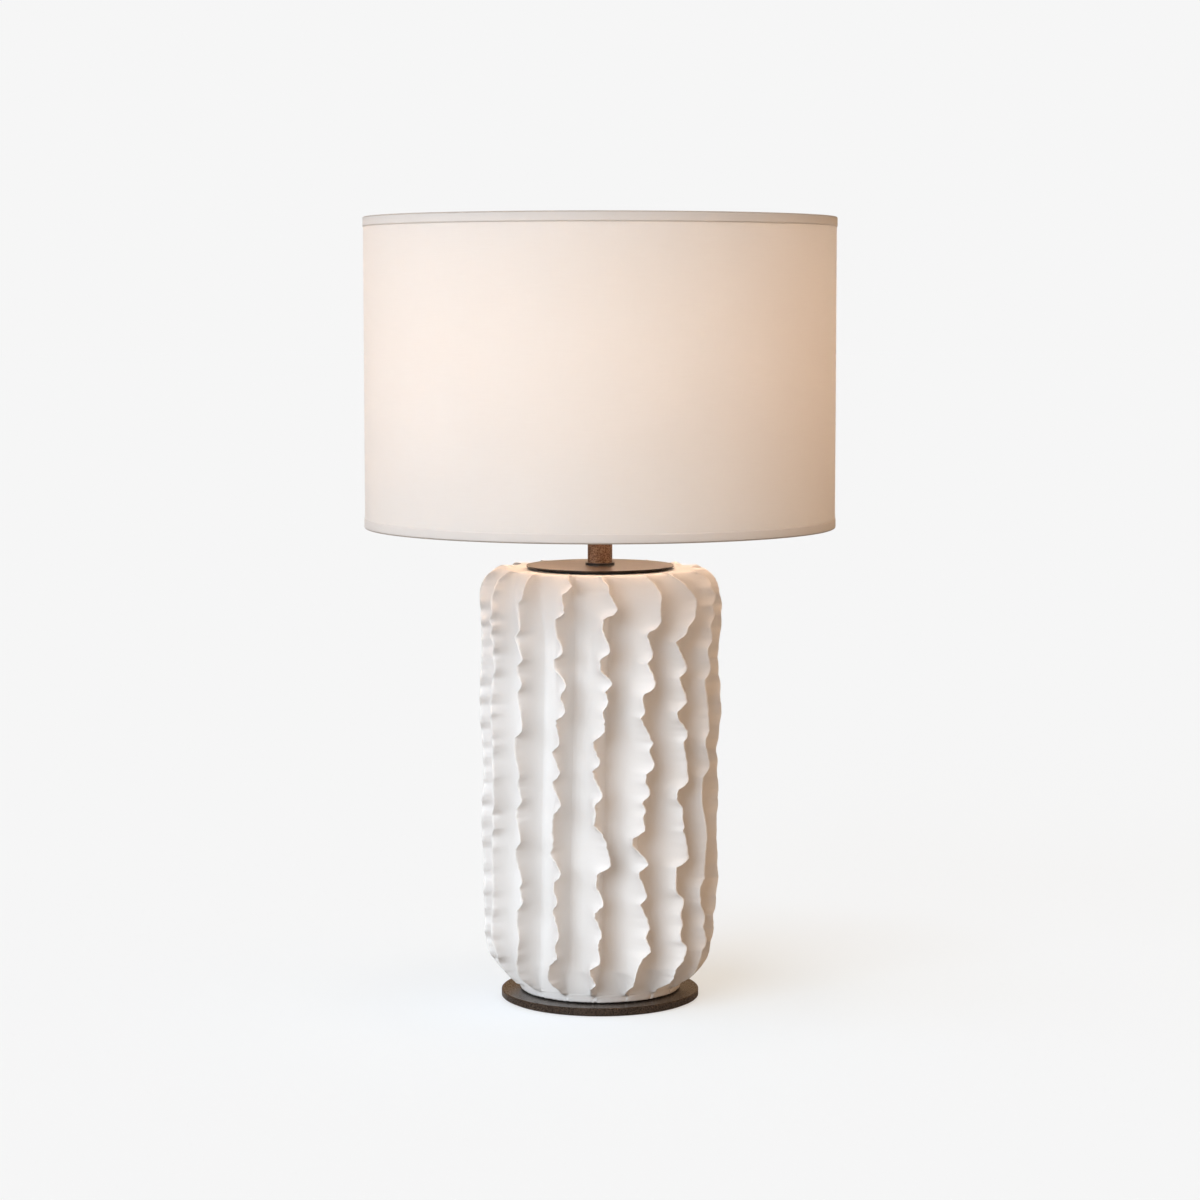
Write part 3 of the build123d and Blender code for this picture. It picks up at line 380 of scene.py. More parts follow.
# %% Uneven fields
SLOW_FADE = 1.2
QUICK_FADE = 3.2
NOTCH_DROP = 0.18
SLOW_WAVE = 0.9
SLOW_WAVE_LENGTH = 70
SLANT = 1.2
SLANT_LENGTH = 110
FIN_TWIST = math.radians(6.0)
TWIST_MIDDLE = 180
TWIST_LENGTH = 318
FULL_BOTTOM = {1: 5.0, 2: 7.0, 3: 7.5, 4: 8.5, 5: 9.5, 6: 5.0}
FULL_ELSEWHERE = 1.0
FOOT_SHARPNESS = 1.6
ROUGH_FOOT = 0.45
ROUGH_LENGTH = 12
SHARP_BELOW = (32, -16)
FULL_ABOVE, FULL_BELOW = (17, 7), (64, -34)
SIDE_ABOVE, SIDE_BELOW = (10, 30), (330, -25)
ROUGH_BELOW = (18, -8)


def slow_waves(angle, height, spread, seed, count=7):
    """A smooth uneven field between about -1 and 1: sines in angle and height with drawn speeds and starts."""
    pick = np.random.default_rng(seed)
    total = np.zeros(np.broadcast(angle, height).shape)
    for turns in pick.integers(2, 34, count):
        rise = pick.uniform(0.5, 1.5) * 2 * math.pi / spread
        total += np.sin(turns * angle + rise * height * pick.choice((-1, 1)) + pick.uniform(0, 2 * math.pi))
    return total / math.sqrt(count)


def ramp_up(height, start, length):
    """0 up to a start height, 1 from a length above it on, and a line between. A minus length turns it round."""
    return np.clip((height - start) / length, 0, 1)


def twist_at(height):
    """How far the fins have leant round the pot at a height."""
    return FIN_TWIST * (height - TWIST_MIDDLE) / TWIST_LENGTH


print("the fins lean by", round(math.degrees(twist_at(ridge_height.max()) - twist_at(POT_BOTTOM)), 1), "degrees")

# %% Pot skin
height = ridge_height[:, None]
near_foot = ramp_up(height, *SHARP_BELOW)
low_down = ramp_up(height, *FULL_ABOVE) * ramp_up(height, *FULL_BELOW)
on_side = ramp_up(height, *SIDE_ABOVE) * ramp_up(height, *SIDE_BELOW)
foot = ramp_up(height, *ROUGH_BELOW)
share = column_share[None, :] ** (1 + FOOT_SHARPNESS * near_foot)
slow = slow_rows[:, column_fin]
quick = quick_rows[:, column_fin]
fullness = np.array([FULL_BOTTOM.get(number, FULL_ELSEWHERE) for number in column_fin])[None, :]

angle = column_angle[None, :] + twist_at(height)
radius = valley_radius[:, None] + share * (ridge_radius - valley_radius)[:, None]
level = valley_height[:, None] + share * (ridge_height - valley_height)[:, None]
radius = radius + NOTCH_DROP * (slow + quick) * share**3
radius = radius + fullness * low_down * share**2
radius = radius + SLOW_WAVE * on_side * slow_waves(angle, height, SLOW_WAVE_LENGTH, 11) * (0.25 + share)
slant = SLANT * on_side * slow_waves(angle, height, SLANT_LENGTH, 12)
angle = angle + (slow * share**SLOW_FADE + quick * share**QUICK_FADE + slant * share) / radius
radius = radius + ROUGH_FOOT * foot * slow_waves(column_angle[None, :] * 3, height * 4, ROUGH_LENGTH, 13)
skin = round_the_lamp(radius * MM, angle, level * MM)
print("the pot's skin reaches", round(float(radius.max()), 1), "mm from its axis")

# %% [markdown]
# ## The clay pot: its inside
# The real pot is hollow, with a hole in the top for the centring bush and one in the bottom. A Solidify modifier
# could make the wall, but it would carry the fins to the inside, where the potter's hand left a smooth wall. So a
# few more rows run down through the cavity and out to the foot ring, where they meet the first row of the skin.

# %% Cavity and whole pot
CAVITY = ((24.0, 323.4), (24.0, 317.4), (45.0, 317.4), (60.5, 302.0), (60.5, 28.0), (53.0, 13.6), (15.0, 13.6))
BOTTOM_HOLE = (15.0, 7.6)
SEAT_STEP = 12
CAVITY_STEP = 80
HOLE_STEP = 8
UNDERSIDE_STEP = 24

inside = np.concatenate([
    straight(SEAT, CAVITY[0], SEAT_STEP),
    *[straight(a, b, CAVITY_STEP) for a, b in zip(CAVITY, CAVITY[1:])],
    straight(CAVITY[-1], BOTTOM_HOLE, HOLE_STEP),
    straight(BOTTOM_HOLE, (FOOT_RADIUS, POT_BOTTOM), UNDERSIDE_STEP),
])
inside_radius, inside_height = inside.T[:, :, None]
inner = round_the_lamp(inside_radius * MM, column_angle[None, :] + twist_at(inside_height), inside_height * MM)
pot_rows = len(ridge) + len(inside)
pot_faces = grid_faces(pot_rows, len(column_angle), rows_close=True, columns_close=True)
pot = mesh_piece("finned_pot", np.concatenate([skin, inner]), pot_faces)

# %% [markdown]
# ## The clay pot: cord inlet
# Low in the back of the real pot, a flat spot is ground into the valley for the rubber grommet, with a hole through
# the wall. The hole could be left out of the grid, but its rim would follow the rows and columns. A boolean cut is
# the right tool here: the drill that makes it on the real pot takes no notice of the fins either.


# %% A drill
def turned_about_y(name, profile, centre_x, centre_z, sides=48):
    """A closed solid turned about an axis along Y, from (radius, y) points, with a flat end at each."""
    radius, along = np.array(profile).T
    turn = np.arange(sides)[None, :] / sides * 2 * math.pi
    x = centre_x + radius[:, None] * np.cos(turn)
    z = centre_z + radius[:, None] * np.sin(turn)
    points = np.stack(np.broadcast_arrays(x, along[:, None], z), -1).reshape(-1, 3)
    faces = outward(points, grid_faces(len(radius), sides, columns_close=True)).tolist()
    last = len(points) - sides
    ends = [list(range(sides)), list(range(last, last + sides))[::-1]]
    mesh = bpy.data.meshes.new(name)
    mesh.from_pydata(points.tolist(), [], faces + ends)
    solid = bpy.data.objects.new(name, mesh)
    bpy.context.scene.collection.objects.link(solid)
    return solid


HOLE_CLEARANCE = 0.2 * MM
POCKET_CLEARANCE = 2.0 * MM
FLANGE_SEAT = 1.9 * MM
FLANGE_OVERLAP = 2.5 * MM
BEYOND_SKIN = 40 * MM
BEYOND_WALL = 10 * MM
POLE = 0.05 * MM
low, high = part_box("cord_grommet")
middle = (low + high) / 2
flange = (high.x - low.x) / 2
hole = flange - FLANGE_OVERLAP + HOLE_CLEARANCE
pocket = flange + POCKET_CLEARANCE
seat_y = high.y - FLANGE_SEAT
far_y = high.y + BEYOND_SKIN
near_y = low.y - BEYOND_WALL
drill_profile = [(POLE, near_y), (hole, near_y), (hole, seat_y), (pocket, seat_y), (pocket, far_y), (POLE, far_y)]
drill = turned_about_y("inlet_drill", drill_profile, middle.x, middle.z)
print("drill of", round(2 * hole / MM, 1), "mm with a", round(2 * pocket / MM, 1), "mm pocket")


# %% Cord inlet
def cut(piece, tool):
    """Takes a tool's volume out of a piece, and removes the tool."""
    boolean = piece.modifiers.new("cut", "BOOLEAN")
    boolean.operation = "DIFFERENCE"
    boolean.solver = "MANIFOLD"
    boolean.object = tool
    done = bpy.data.meshes.new_from_object(piece.evaluated_get(bpy.context.evaluated_depsgraph_get()))
    piece.modifiers.clear()
    piece.data = done
    bpy.data.objects.remove(tool)
    print(piece.name, "cut, now", len(done.polygons), "faces")


cut(pot, drill)
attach(pot, "stand")
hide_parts("ceramic_pot")

# %% [markdown]
# ## Cloth strips
# The drum's cloth is one strip, wrapped once round its lining and lapped at the back. The edgings are narrower
# strips, folded over the wire hoops. A cylinder with a Solidify modifier could stand for each, but it would have no
# lap. One function makes all three instead: it takes a line across the strip, gives it a thickness, and carries it
# round the lamp, lifting the end over the start where the strip laps.

# %% A strip that laps at the back
LAP_LIFT = 1.05
TURN_STEPS = 240


def offset_normals(line):
    """Unit normals of a line of (radius, height) points, to the left of its direction."""
    along = np.gradient(line, axis=0)
    normal = np.stack([-along[:, 1], along[:, 0]], -1)
    return normal / np.linalg.norm(normal, axis=1, keepdims=True)


def lapped_strip(name, line, thickness, lap, start_degrees):
    """A strip of a given thickness round the lamp. Its end lies on its start, outside it, over a lap in metres."""
    radius = line[:, 0].max()
    lap_angle = lap / radius
    turn = np.linspace(0, 2 * math.pi + lap_angle, TURN_STEPS)
    past_start = np.clip((turn - 2 * math.pi + lap_angle) / lap_angle, 0, 1)
    lift = LAP_LIFT * thickness * past_start * past_start * (3 - 2 * past_start)
    normal = offset_normals(line)
    outer = line[None] + normal[None] * (thickness / 2 + lift[:, None, None])
    inner = line[None] - normal[None] * (thickness / 2 - lift[:, None, None])
    across = np.concatenate([outer, inner[:, ::-1]], 1)
    angle = math.radians(start_degrees) + turn
    points = round_the_lamp(across[..., 0], angle[:, None], across[..., 1])
    count = across.shape[1]
    faces = grid_faces(TURN_STEPS, count, columns_close=True)
    half = np.arange(len(line) - 1)
    start_cap = np.stack([half, half + 1, count - 2 - half, count - 1 - half], -1)
    end_cap = start_cap[:, ::-1] + (TURN_STEPS - 1) * count
    faces = np.concatenate([faces, start_cap, end_cap])
    run = np.concatenate([[0], np.cumsum(np.linalg.norm(np.diff(line, axis=0), axis=1))])
    across_run = np.concatenate([run, run[::-1]])
    uv = np.stack(np.broadcast_arrays((turn * radius)[:, None], across_run[None, :]), -1).reshape(-1, 2)
    return mesh_piece(name, points, faces, uv), turn[-1] * radius, run[-1]


print("a strip goes round in", TURN_STEPS, "steps")

# %% [markdown]
# ## The shade's cloth
# The cloth is glued to a stiff translucent lining, which keeps it smooth. A cloth simulation could hang it, but
# there is nothing for it to do, because a stretched cloth has no folds. So it is a true cylinder, and only its lap
# at the back and its weave show that it is cloth.

# %% Shade cloth
CLOTH_THICKNESS = 0.45 * MM
CLOTH_LAP = 12 * MM
CLOTH_INSET = 0.03 * MM
CLOTH_END_GAP = 0.4 * MM
CLOTH_ROWS = 60
BACK = 180
low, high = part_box("shade_fabric")
cloth_radius = high.x - CLOTH_THICKNESS / 2 - CLOTH_INSET
cloth_heights = np.linspace(high.z - CLOTH_END_GAP, low.z + CLOTH_END_GAP, CLOTH_ROWS)
cloth_line = np.stack([np.full(CLOTH_ROWS, cloth_radius), cloth_heights], -1)
cloth, cloth_length, cloth_width = lapped_strip("shade_cloth", cloth_line, CLOTH_THICKNESS, CLOTH_LAP, BACK)
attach(cloth, "shade")
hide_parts("shade_fabric")

# %% [markdown]
# ## The shade's edgings
# At both ends a narrow strip of the same cloth is folded over the wire hoop: seven millimetres show outside, and
# four inside. A curve with a bevel could carry such a section round, but it would close on itself without a lap.
# The section here is two straight legs joined by a rounded fold, and the laps sit a little beside the cloth's own.

# %% Edgings
TRIM_THICKNESS = 0.4 * MM
OUTER_HEM = 7.0 * MM
INNER_HEM = 4.2 * MM
FOLD_RADIUS = 1.0 * MM
LEG_START = 1.6 * MM
LEG_GAP = 4.1 * MM
TRIM_LAP = 15 * MM
TRIM_START = BACK + 8


def edging_line(node, upward):
    """Section of an edging, from its outer hem over the fold to its inner hem. Upward is 1 for the lower one."""
    low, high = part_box(node)
    outer = high.x - TRIM_THICKNESS / 2
    inner = outer - LEG_GAP
    edge = (low.z if upward > 0 else high.z) + upward * TRIM_THICKNESS / 2
    turn = np.linspace(0, math.pi / 2, 7)
    first = np.array([outer - FOLD_RADIUS, edge + upward * FOLD_RADIUS])
    second = np.array([inner + FOLD_RADIUS, edge + upward * FOLD_RADIUS])
    first_fold = first + FOLD_RADIUS * np.stack([np.cos(turn), -upward * np.sin(turn)], -1)
    second_fold = second + FOLD_RADIUS * np.stack([-np.sin(turn), -upward * np.cos(turn)], -1)
    outer_leg = np.stack([np.full(6, outer), edge + upward * np.linspace(OUTER_HEM, LEG_START, 6)], -1)
    inner_leg = np.stack([np.full(4, inner), edge + upward * np.linspace(LEG_START, INNER_HEM, 4)], -1)
    line = np.concatenate([outer_leg, first_fold, second_fold, inner_leg])
    return line if upward < 0 else line[::-1]


edgings = []
for node, upward in (("shade_bottom_trim", 1), ("shade_top_trim", -1)):
    line = edging_line(node, upward)
    edging, edging_length, edging_width = lapped_strip(node + "_strip", line, TRIM_THICKNESS, TRIM_LAP, TRIM_START)
    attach(edging, "shade")
    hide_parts(node)
    edgings.append(edging)
print("cloth cut to", round(cloth_length, 4), "by", round(cloth_width, 4), "m")
print("edgings cut to", round(edging_length, 4), "by", round(edging_width, 4), "m")

# %% [markdown]
# ## The bulb's screw cap
# The packed cap is a plain cup, because a thread would only slow the physics down. The real one is thin metal
# with a rolled thread, one turn every 3.62 mm. A Screw modifier could wind it, but would leave both ends of the
# thread open. Here the cap's radius follows a sine along its height that also advances once for every turn round
# it, which is a helix, and it fades out at both ends.

# %% Bulb cap
THREAD_PITCH = 3.62 * MM
THREAD_DEPTH = 0.8 * MM
THREAD_FADE = 2 * MM
PLAIN_RIM = 4 * MM
PLAIN_INSET = 0.3 * MM
CAP_WALL = 0.5 * MM
CAP_ROWS = 90
CAP_SIDES = 72
low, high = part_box("bulb_cap")
cap_height = np.linspace(low.z, high.z, CAP_ROWS)[:, None]
cap_turn = np.arange(CAP_SIDES)[None, :] / CAP_SIDES * 2 * math.pi
threaded = ramp_up(cap_height, low.z, THREAD_FADE) * ramp_up(cap_height, high.z - PLAIN_RIM, -THREAD_FADE)
wave = 0.5 + 0.5 * np.cos(2 * math.pi * (cap_height - low.z) / THREAD_PITCH - cap_turn)
cap_outer = high.x - THREAD_DEPTH * wave * threaded - PLAIN_INSET * (1 - threaded)
pole = np.full((1, CAP_SIDES), POLE)
cap_radius = np.concatenate([pole, cap_outer, cap_outer[::-1] - CAP_WALL, pole])
inner_floor = low.z + CAP_WALL
cap_level = np.concatenate([[low.z], cap_height[:, 0], np.maximum(cap_height[::-1, 0], inner_floor), [inner_floor]])
cap_points = round_the_lamp(cap_radius, cap_turn, cap_level[:, None])
cap_faces = grid_faces(len(cap_level), CAP_SIDES, rows_close=True, columns_close=True)
cap = mesh_piece("bulb_screw_cap", cap_points, cap_faces)
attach(cap, "bulb")
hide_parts("bulb_cap")

# %% [markdown]
# ## Finishes as sums
# A finish is worked out from noises and waves. Its nodes could be placed and linked one by one, but that takes
# ten lines for what reads best as a sum. So one small class wraps a socket, and Python's operators on it add Math
# nodes. Every other node comes from one method, which sets the node up first and then fills its sockets with
# numbers or with links.


# %% Number class
class Value:
    """A number that changes over a surface: a socket that Python's operators work on."""

    def __init__(self, finish, socket):
        self.finish = finish
        self.socket = socket

    def math(self, operation, first, second):
        """The result of a Math node on two numbers, either of which may be a plain one."""
        return self.finish.node("ShaderNodeMath", {"operation": operation}, {0: first, 1: second})

    def __add__(self, other):
        return self.math("ADD", self, other)

    __radd__ = __add__

    def __mul__(self, other):
        return self.math("MULTIPLY", self, other)

    __rmul__ = __mul__

    def __sub__(self, other):
        return self.math("SUBTRACT", self, other)

    def __rsub__(self, other):
        return self.math("SUBTRACT", other, self)

    def __truediv__(self, other):
        return self.math("DIVIDE", self, other)

    def __pow__(self, other):
        return self.math("POWER", self, other)

    def at_most(self, other):
        return self.math("MINIMUM", self, other)

    def at_least(self, other):
        return self.math("MAXIMUM", self, other)

    def as_share(self):
        """The number kept between 0 and 1."""
        return self.at_least(0).at_most(1)


print("Value knows", sum(callable(item) for item in vars(Value).values()), "operations")


# %% Material class
class Finish:
    """A material that is being wired."""

    def __init__(self, name=None, tree=None):
        """A new material of a name, or the node tree of something else, such as the world."""
        if tree is None:
            self.material = bpy.data.materials.new(name)
            self.material.use_nodes = True
            tree = self.material.node_tree
        self.tree = tree
        self.tree.nodes.clear()

    def node(self, kind, settings=None, sockets=None, output=0):
        """Adds a node, sets it up, fills its sockets with numbers or links, and returns one of its outputs."""
        made = self.tree.nodes.new(kind)
        for name, value in (settings or {}).items():
            setattr(made, name, value)
        for name, value in (sockets or {}).items():
            if isinstance(value, Value):
                self.tree.links.new(value.socket, made.inputs[name])
            else:
                made.inputs[name].default_value = value
        return Value(self, made.outputs[output]) if made.outputs else None

    def place(self, stretch=(1, 1, 1), source="Object"):
        """The piece's own coordinates, in metres, stretched along each axis."""
        coordinates = self.node("ShaderNodeTexCoord", output=source)
        return self.node("ShaderNodeMapping", sockets={"Vector": coordinates, "Scale": stretch})

    def part(self, vector, number):
        """One part of a vector: 0 for X, 1 for Y and 2 for Z."""
        return self.node("ShaderNodeSeparateXYZ", sockets={0: vector}, output=number)

    def noise(self, size, detail=2.0, stretch=(1, 1, 1), source="Object", rough=0.5):
        """Noise between 0 and 1 whose blotches are about a size in metres."""
        sockets = {"Vector": self.place(stretch, source), "Scale": 1 / size, "Detail": detail, "Roughness": rough}
        return self.node("ShaderNodeTexNoise", sockets=sockets)

    def mix(self, share, first, second):
        """A colour that goes from the first to the second as a share goes from 0 to 1."""
        return self.node("ShaderNodeMix", {"data_type": "RGBA"}, {0: share, 6: first, 7: second}, output=2)

    def bump(self, height, depth, strength=1.0):
        """A normal from a height between 0 and 1 that stands for a depth in metres."""
        sockets = {"Height": height, "Distance": depth, "Strength": strength}
        return self.node("ShaderNodeBump", sockets=sockets)

    def coat(self, **sockets):
        """The main shader, with sockets named by their words joined with underscores."""
        filled = {name.replace("_", " "): value for name, value in sockets.items()}
        return self.node("ShaderNodeBsdfPrincipled", sockets=filled)

    def surface(self, shader):
        """Wires a shader to the output and returns the material."""
        self.node("ShaderNodeOutputMaterial", sockets={"Surface": shader})
        return self.material


def colour(red, green, blue):
    """The four numbers of a colour socket."""
    return (red, green, blue, 1.0)


print("Finish knows", sum(callable(item) for item in vars(Finish).values()), "steps")

# %% [markdown]
# ## White clay
# The clay is matt and not glazed. Up close it has a fine grain, faint streaks along the fins where fingers drew
# it up, and soft dents. Its colour hardly changes, only a little warmer in patches. A picture of clay would have
# to be wrapped round the fins and would show a seam, while noise in the pot's own coordinates runs through them.

# %% Ceramic
CLAY_DARK = colour(0.765, 0.755, 0.745)
CLAY_LIGHT = colour(0.80, 0.79, 0.78)
CLAY_GRAIN = colour(0.74, 0.72, 0.70)
CLAY_RELIEF = 0.5 * MM


def white_clay():
    """Matt clay: a colour that drifts in patches, with grain, streaks along the fins and dents as relief."""
    finish = Finish("matt_white_clay")
    patches = finish.noise(40 * MM, 3)
    grain = finish.noise(0.7 * MM, 3)
    streaks = finish.noise(3.2 * MM, 3, stretch=(1, 1, 0.07))
    dents = finish.noise(9 * MM, 2)
    base = finish.mix(patches, CLAY_DARK, CLAY_LIGHT)
    base = finish.mix((grain - 0.5) * 0.5 + 0.15, base, CLAY_GRAIN)
    relief = grain * 0.22 + streaks * 0.35 + dents * 0.6
    normal = finish.bump(relief, CLAY_RELIEF, 0.55)
    return finish.surface(
        finish.coat(Base_Color=base, Roughness=0.62 + patches * 0.15, Specular_IOR_Level=0.35, Normal=normal)
    )


clay = white_clay()
print(clay.name)

# %% [markdown]
# ## Cloth that lets light through
# The cloth is an off-white plain weave with thicker places in its threads, which show as short dashes along the
# weft. Light comes through it from the bulb. Transmission could let the light through, but it makes glass; a
# translucent shader scatters the light, as cloth does, so it is mixed in by halves. The weave follows the UV map,
# whose units are metres of cloth, so that its threads run true round the drum. The edgings carry a painted shadow:
# a darker line where their fold stands off the drum.

# %% Woven cloth
THREAD_STEP = 0.55 * MM
# The fold's painted shadow: its colour, width and strength, a darker band where the fold stands off the drum.
FOLD_SHADOW_WIDTH = 1.3 * MM
PAINTED_FOLD_SHADOW = colour(0.30, 0.22, 0.16)
FOLD_SHADOW_STRENGTH = 0.8
WEAVE_RELIEF = 0.12 * MM


def woven_cloth(name, light, dark, through, painted_shadow_line=None):
    """Plain weave: warp and weft sines, noise slubs, a share of light let through, and a painted fold shadow if
    placed.
    """
    finish = Finish(name)
    place = finish.place(source="UV")
    along, across = finish.part(place, 0), finish.part(place, 1)
    turns = 2 * math.pi / THREAD_STEP
    warp = finish.node("ShaderNodeMath", {"operation": "SINE"}, {0: along * turns})
    weft = finish.node("ShaderNodeMath", {"operation": "SINE"}, {0: across * turns})
    slubs = finish.noise(1.0 * MM, 2, stretch=(0.055, 1.6, 1), source="UV")
    warp_slubs = finish.noise(1.0 * MM, 2, stretch=(1.5, 0.04, 1), source="UV")
    cloudy = finish.noise(60 * MM, 2, source="UV")
    shade = slubs * 0.55 + warp_slubs * 0.25 + cloudy * 0.35
    base = finish.mix(((shade - 0.42) * 2.2).as_share(), dark, light)
    # Painted shadow: the edging is darkened in a band along its fold.
    if painted_shadow_line is not None:
        fold_shadow = 1 - ((across - painted_shadow_line) * (1 / FOLD_SHADOW_WIDTH)) ** 2
        base = finish.mix(fold_shadow.at_least(0) * FOLD_SHADOW_STRENGTH, base, PAINTED_FOLD_SHADOW)
    relief = (warp * weft) * 0.25 + slubs * 0.6 + warp_slubs * 0.3
    normal = finish.bump(relief, WEAVE_RELIEF, 0.6)
    body = finish.coat(Base_Color=base, Roughness=0.88, Specular_IOR_Level=0.2, Sheen_Weight=0.15, Normal=normal)
    glow = finish.node("ShaderNodeBsdfTranslucent", sockets={"Color": light})
    return finish.surface(finish.node("ShaderNodeMixShader", sockets={0: through, 1: body, 2: glow}))


# %% Two cloths
CLOTH_LIGHT = colour(0.93, 0.925, 0.915)
CLOTH_DARK = colour(0.885, 0.875, 0.86)
EDGING_LIGHT = colour(0.95, 0.93, 0.91)
EDGING_DARK = colour(0.91, 0.885, 0.86)
LET_THROUGH = 0.5
OUTER_FOLD = OUTER_HEM + 0.3 * MM
shade_cloth = woven_cloth("woven_shade_cloth", CLOTH_LIGHT, CLOTH_DARK, LET_THROUGH)
edging_cloth = woven_cloth("folded_edging_cloth", EDGING_LIGHT, EDGING_DARK, LET_THROUGH, painted_shadow_line=OUTER_FOLD)
print(shade_cloth.name, edging_cloth.name)

# %% [markdown]
# ## Bronze
# Plate, disc and neck are steel with a thin bronze finish, satin, with a fine speckle. The neck is browner and
# slightly hammered. The disc's rim is painted darker than its top, as painted shade. Three materials could be wired
# by hand, but all three share one recipe with other numbers: a speckle in colour, roughness and bump.


# %% Bronze finishes
def bronze(name, dark, light, speck, roughness, depth, painted_shade_rim=None):
    """Satin bronze with specks of a size, and relief of a depth, in metres. The shaded rim names a piece whose rim,
    below its top, gets painted shade, near black.
    """
    finish = Finish(name)
    specks = finish.noise(speck, 3, rough=0.6)
    cloud = finish.noise(18 * MM, 2)
    tone = ((specks - 0.38) * 2.6 + (cloud - 0.5) * 0.6).as_share()
    base = finish.mix(tone, colour(*dark), colour(*light))
    # Painted shade: below its top face, the piece's rim is darkened to near black.
    if painted_shade_rim is not None:
        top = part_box(painted_shade_rim)[1].z
        painted_rim_shade = ((top - 0.1 * MM - finish.part(finish.place(), 2)) * (1 / (0.2 * MM))).as_share()
        base = finish.mix(painted_rim_shade, base, colour(0.03, 0.022, 0.018))
    rough = (roughness + (specks - 0.5) * 0.25).at_least(0.1)
    normal = finish.bump(specks, depth, 0.6)
    return finish.surface(finish.coat(Base_Color=base, Metallic=0.85, Roughness=rough, Normal=normal))


plate_bronze = bronze(
    "plate_bronze",
    dark=(0.05, 0.039, 0.031),
    light=(0.17, 0.13, 0.105),
    speck=0.9 * MM,
    roughness=0.28,
    depth=0.05 * MM,
)
# The disc's rim gets painted shade, near black.
disc_bronze = bronze(
    "disc_bronze",
    dark=(0.26, 0.22, 0.19),
    light=(0.42, 0.36, 0.31),
    speck=0.8 * MM,
    roughness=0.34,
    depth=0.03 * MM,
    painted_shade_rim="cap_disc",
)
neck_bronze = bronze(
    "neck_bronze",
    dark=(0.14, 0.08, 0.05),
    light=(0.52, 0.31, 0.20),
    speck=1.1 * MM,
    roughness=0.40,
    depth=0.12 * MM,
)
print(plate_bronze.name, disc_bronze.name, neck_bronze.name)

# %% [markdown]
# ## Plain parts
# The other parts are moulded, plated or painted, and most of them are seen only when the lamp is taken apart. One
# flat colour each would do for that, but a real surface is never quite even. One recipe serves them all: a colour
# that drifts a little, a roughness that follows a fine grain, and a shallow bump.


# %% Plain finish
def plain(name, tint, roughness, metal=0.0, grain=1.0 * MM, depth=0.02 * MM, drift=0.12, **extra):
    """One tint that drifts by a share of itself, with a grain of a size and a relief of a depth in metres."""
    finish = Finish(name)
    fine = finish.noise(grain, 3)
    slow = finish.noise(25 * MM, 2)
    dark = colour(*(channel * (1 - drift) for channel in tint))
    light = colour(*(min(1, channel * (1 + drift)) for channel in tint))
    base = finish.mix(fine * 0.5 + slow * 0.5, dark, light)
    rough = (roughness + (fine - 0.5) * 0.2).at_least(0.05)
    normal = finish.bump(fine, depth, 0.5)
    return finish.surface(finish.coat(Base_Color=base, Metallic=metal, Roughness=rough, Normal=normal, **extra))


print("plain finish ready")

# %% [markdown]
# ## Lining, globe, light board and felt
# Four parts need more than the plain recipe. The lining lets light through, the globe is lit, the board carries
# its emitters, and the felt has fibres. A lamp could be put inside the globe, but a globe that glows by itself is
# as even as an opal bulb and throws no grainy light.

# %% Special finishes
LINING_DARK = colour(0.88, 0.873, 0.86)
LINING_LIGHT = colour(0.93, 0.925, 0.915)
LINING_THROUGH = 0.6
BULB_GLOW = (1.0, 0.68, 0.48)
BULB_STRENGTH = 49.0
EMITTER_STEP = 4.5 * MM


def lining():
    """Translucent white plastic with a faint cloud in it."""
    finish = Finish("translucent_lining")
    base = finish.mix(finish.noise(30 * MM, 3), LINING_DARK, LINING_LIGHT)
    body = finish.coat(Base_Color=base, Roughness=0.45)
    glow = finish.node("ShaderNodeBsdfTranslucent", sockets={"Color": colour(0.905, 0.9, 0.89)})
    return finish.surface(finish.node("ShaderNodeMixShader", sockets={0: LINING_THROUGH, 1: body, 2: glow}))


def opal_glass():
    """The lit globe: opal plastic that gives a warm light of its own."""
    finish = Finish("lit_opal_globe")
    base = finish.mix(finish.noise(20 * MM, 2), colour(0.88, 0.86, 0.82), colour(0.92, 0.90, 0.86))
    glow = {"Emission_Color": colour(*BULB_GLOW), "Emission_Strength": BULB_STRENGTH}
    return finish.surface(finish.coat(Base_Color=base, Roughness=0.3, **glow))


def light_board():
    """White board with yellow emitters, seen only if the globe is taken off: spots round Voronoi cell centres."""
    finish = Finish("light_board")
    dots = finish.node("ShaderNodeTexVoronoi", sockets={"Vector": finish.place(), "Scale": 1 / EMITTER_STEP})
    spot = ((0.3 - dots) * 12).as_share()
    base = finish.mix(spot, colour(0.85, 0.85, 0.83), colour(0.85, 0.62, 0.12))
    return finish.surface(finish.coat(Base_Color=base, Roughness=0.45 - spot * 0.2))


def dense_felt():
    """Dark felt: stretched noise for its fibres, in colour and relief."""
    finish = Finish("dense_felt")
    fibres = finish.noise(0.5 * MM, 4, stretch=(1, 0.35, 1))
    base = finish.mix(fibres, colour(0.05, 0.045, 0.04), colour(0.15, 0.135, 0.12))
    normal = finish.bump(fibres, 0.3 * MM, 0.8)
    return finish.surface(finish.coat(Base_Color=base, Roughness=0.95, Sheen_Weight=0.3, Normal=normal))


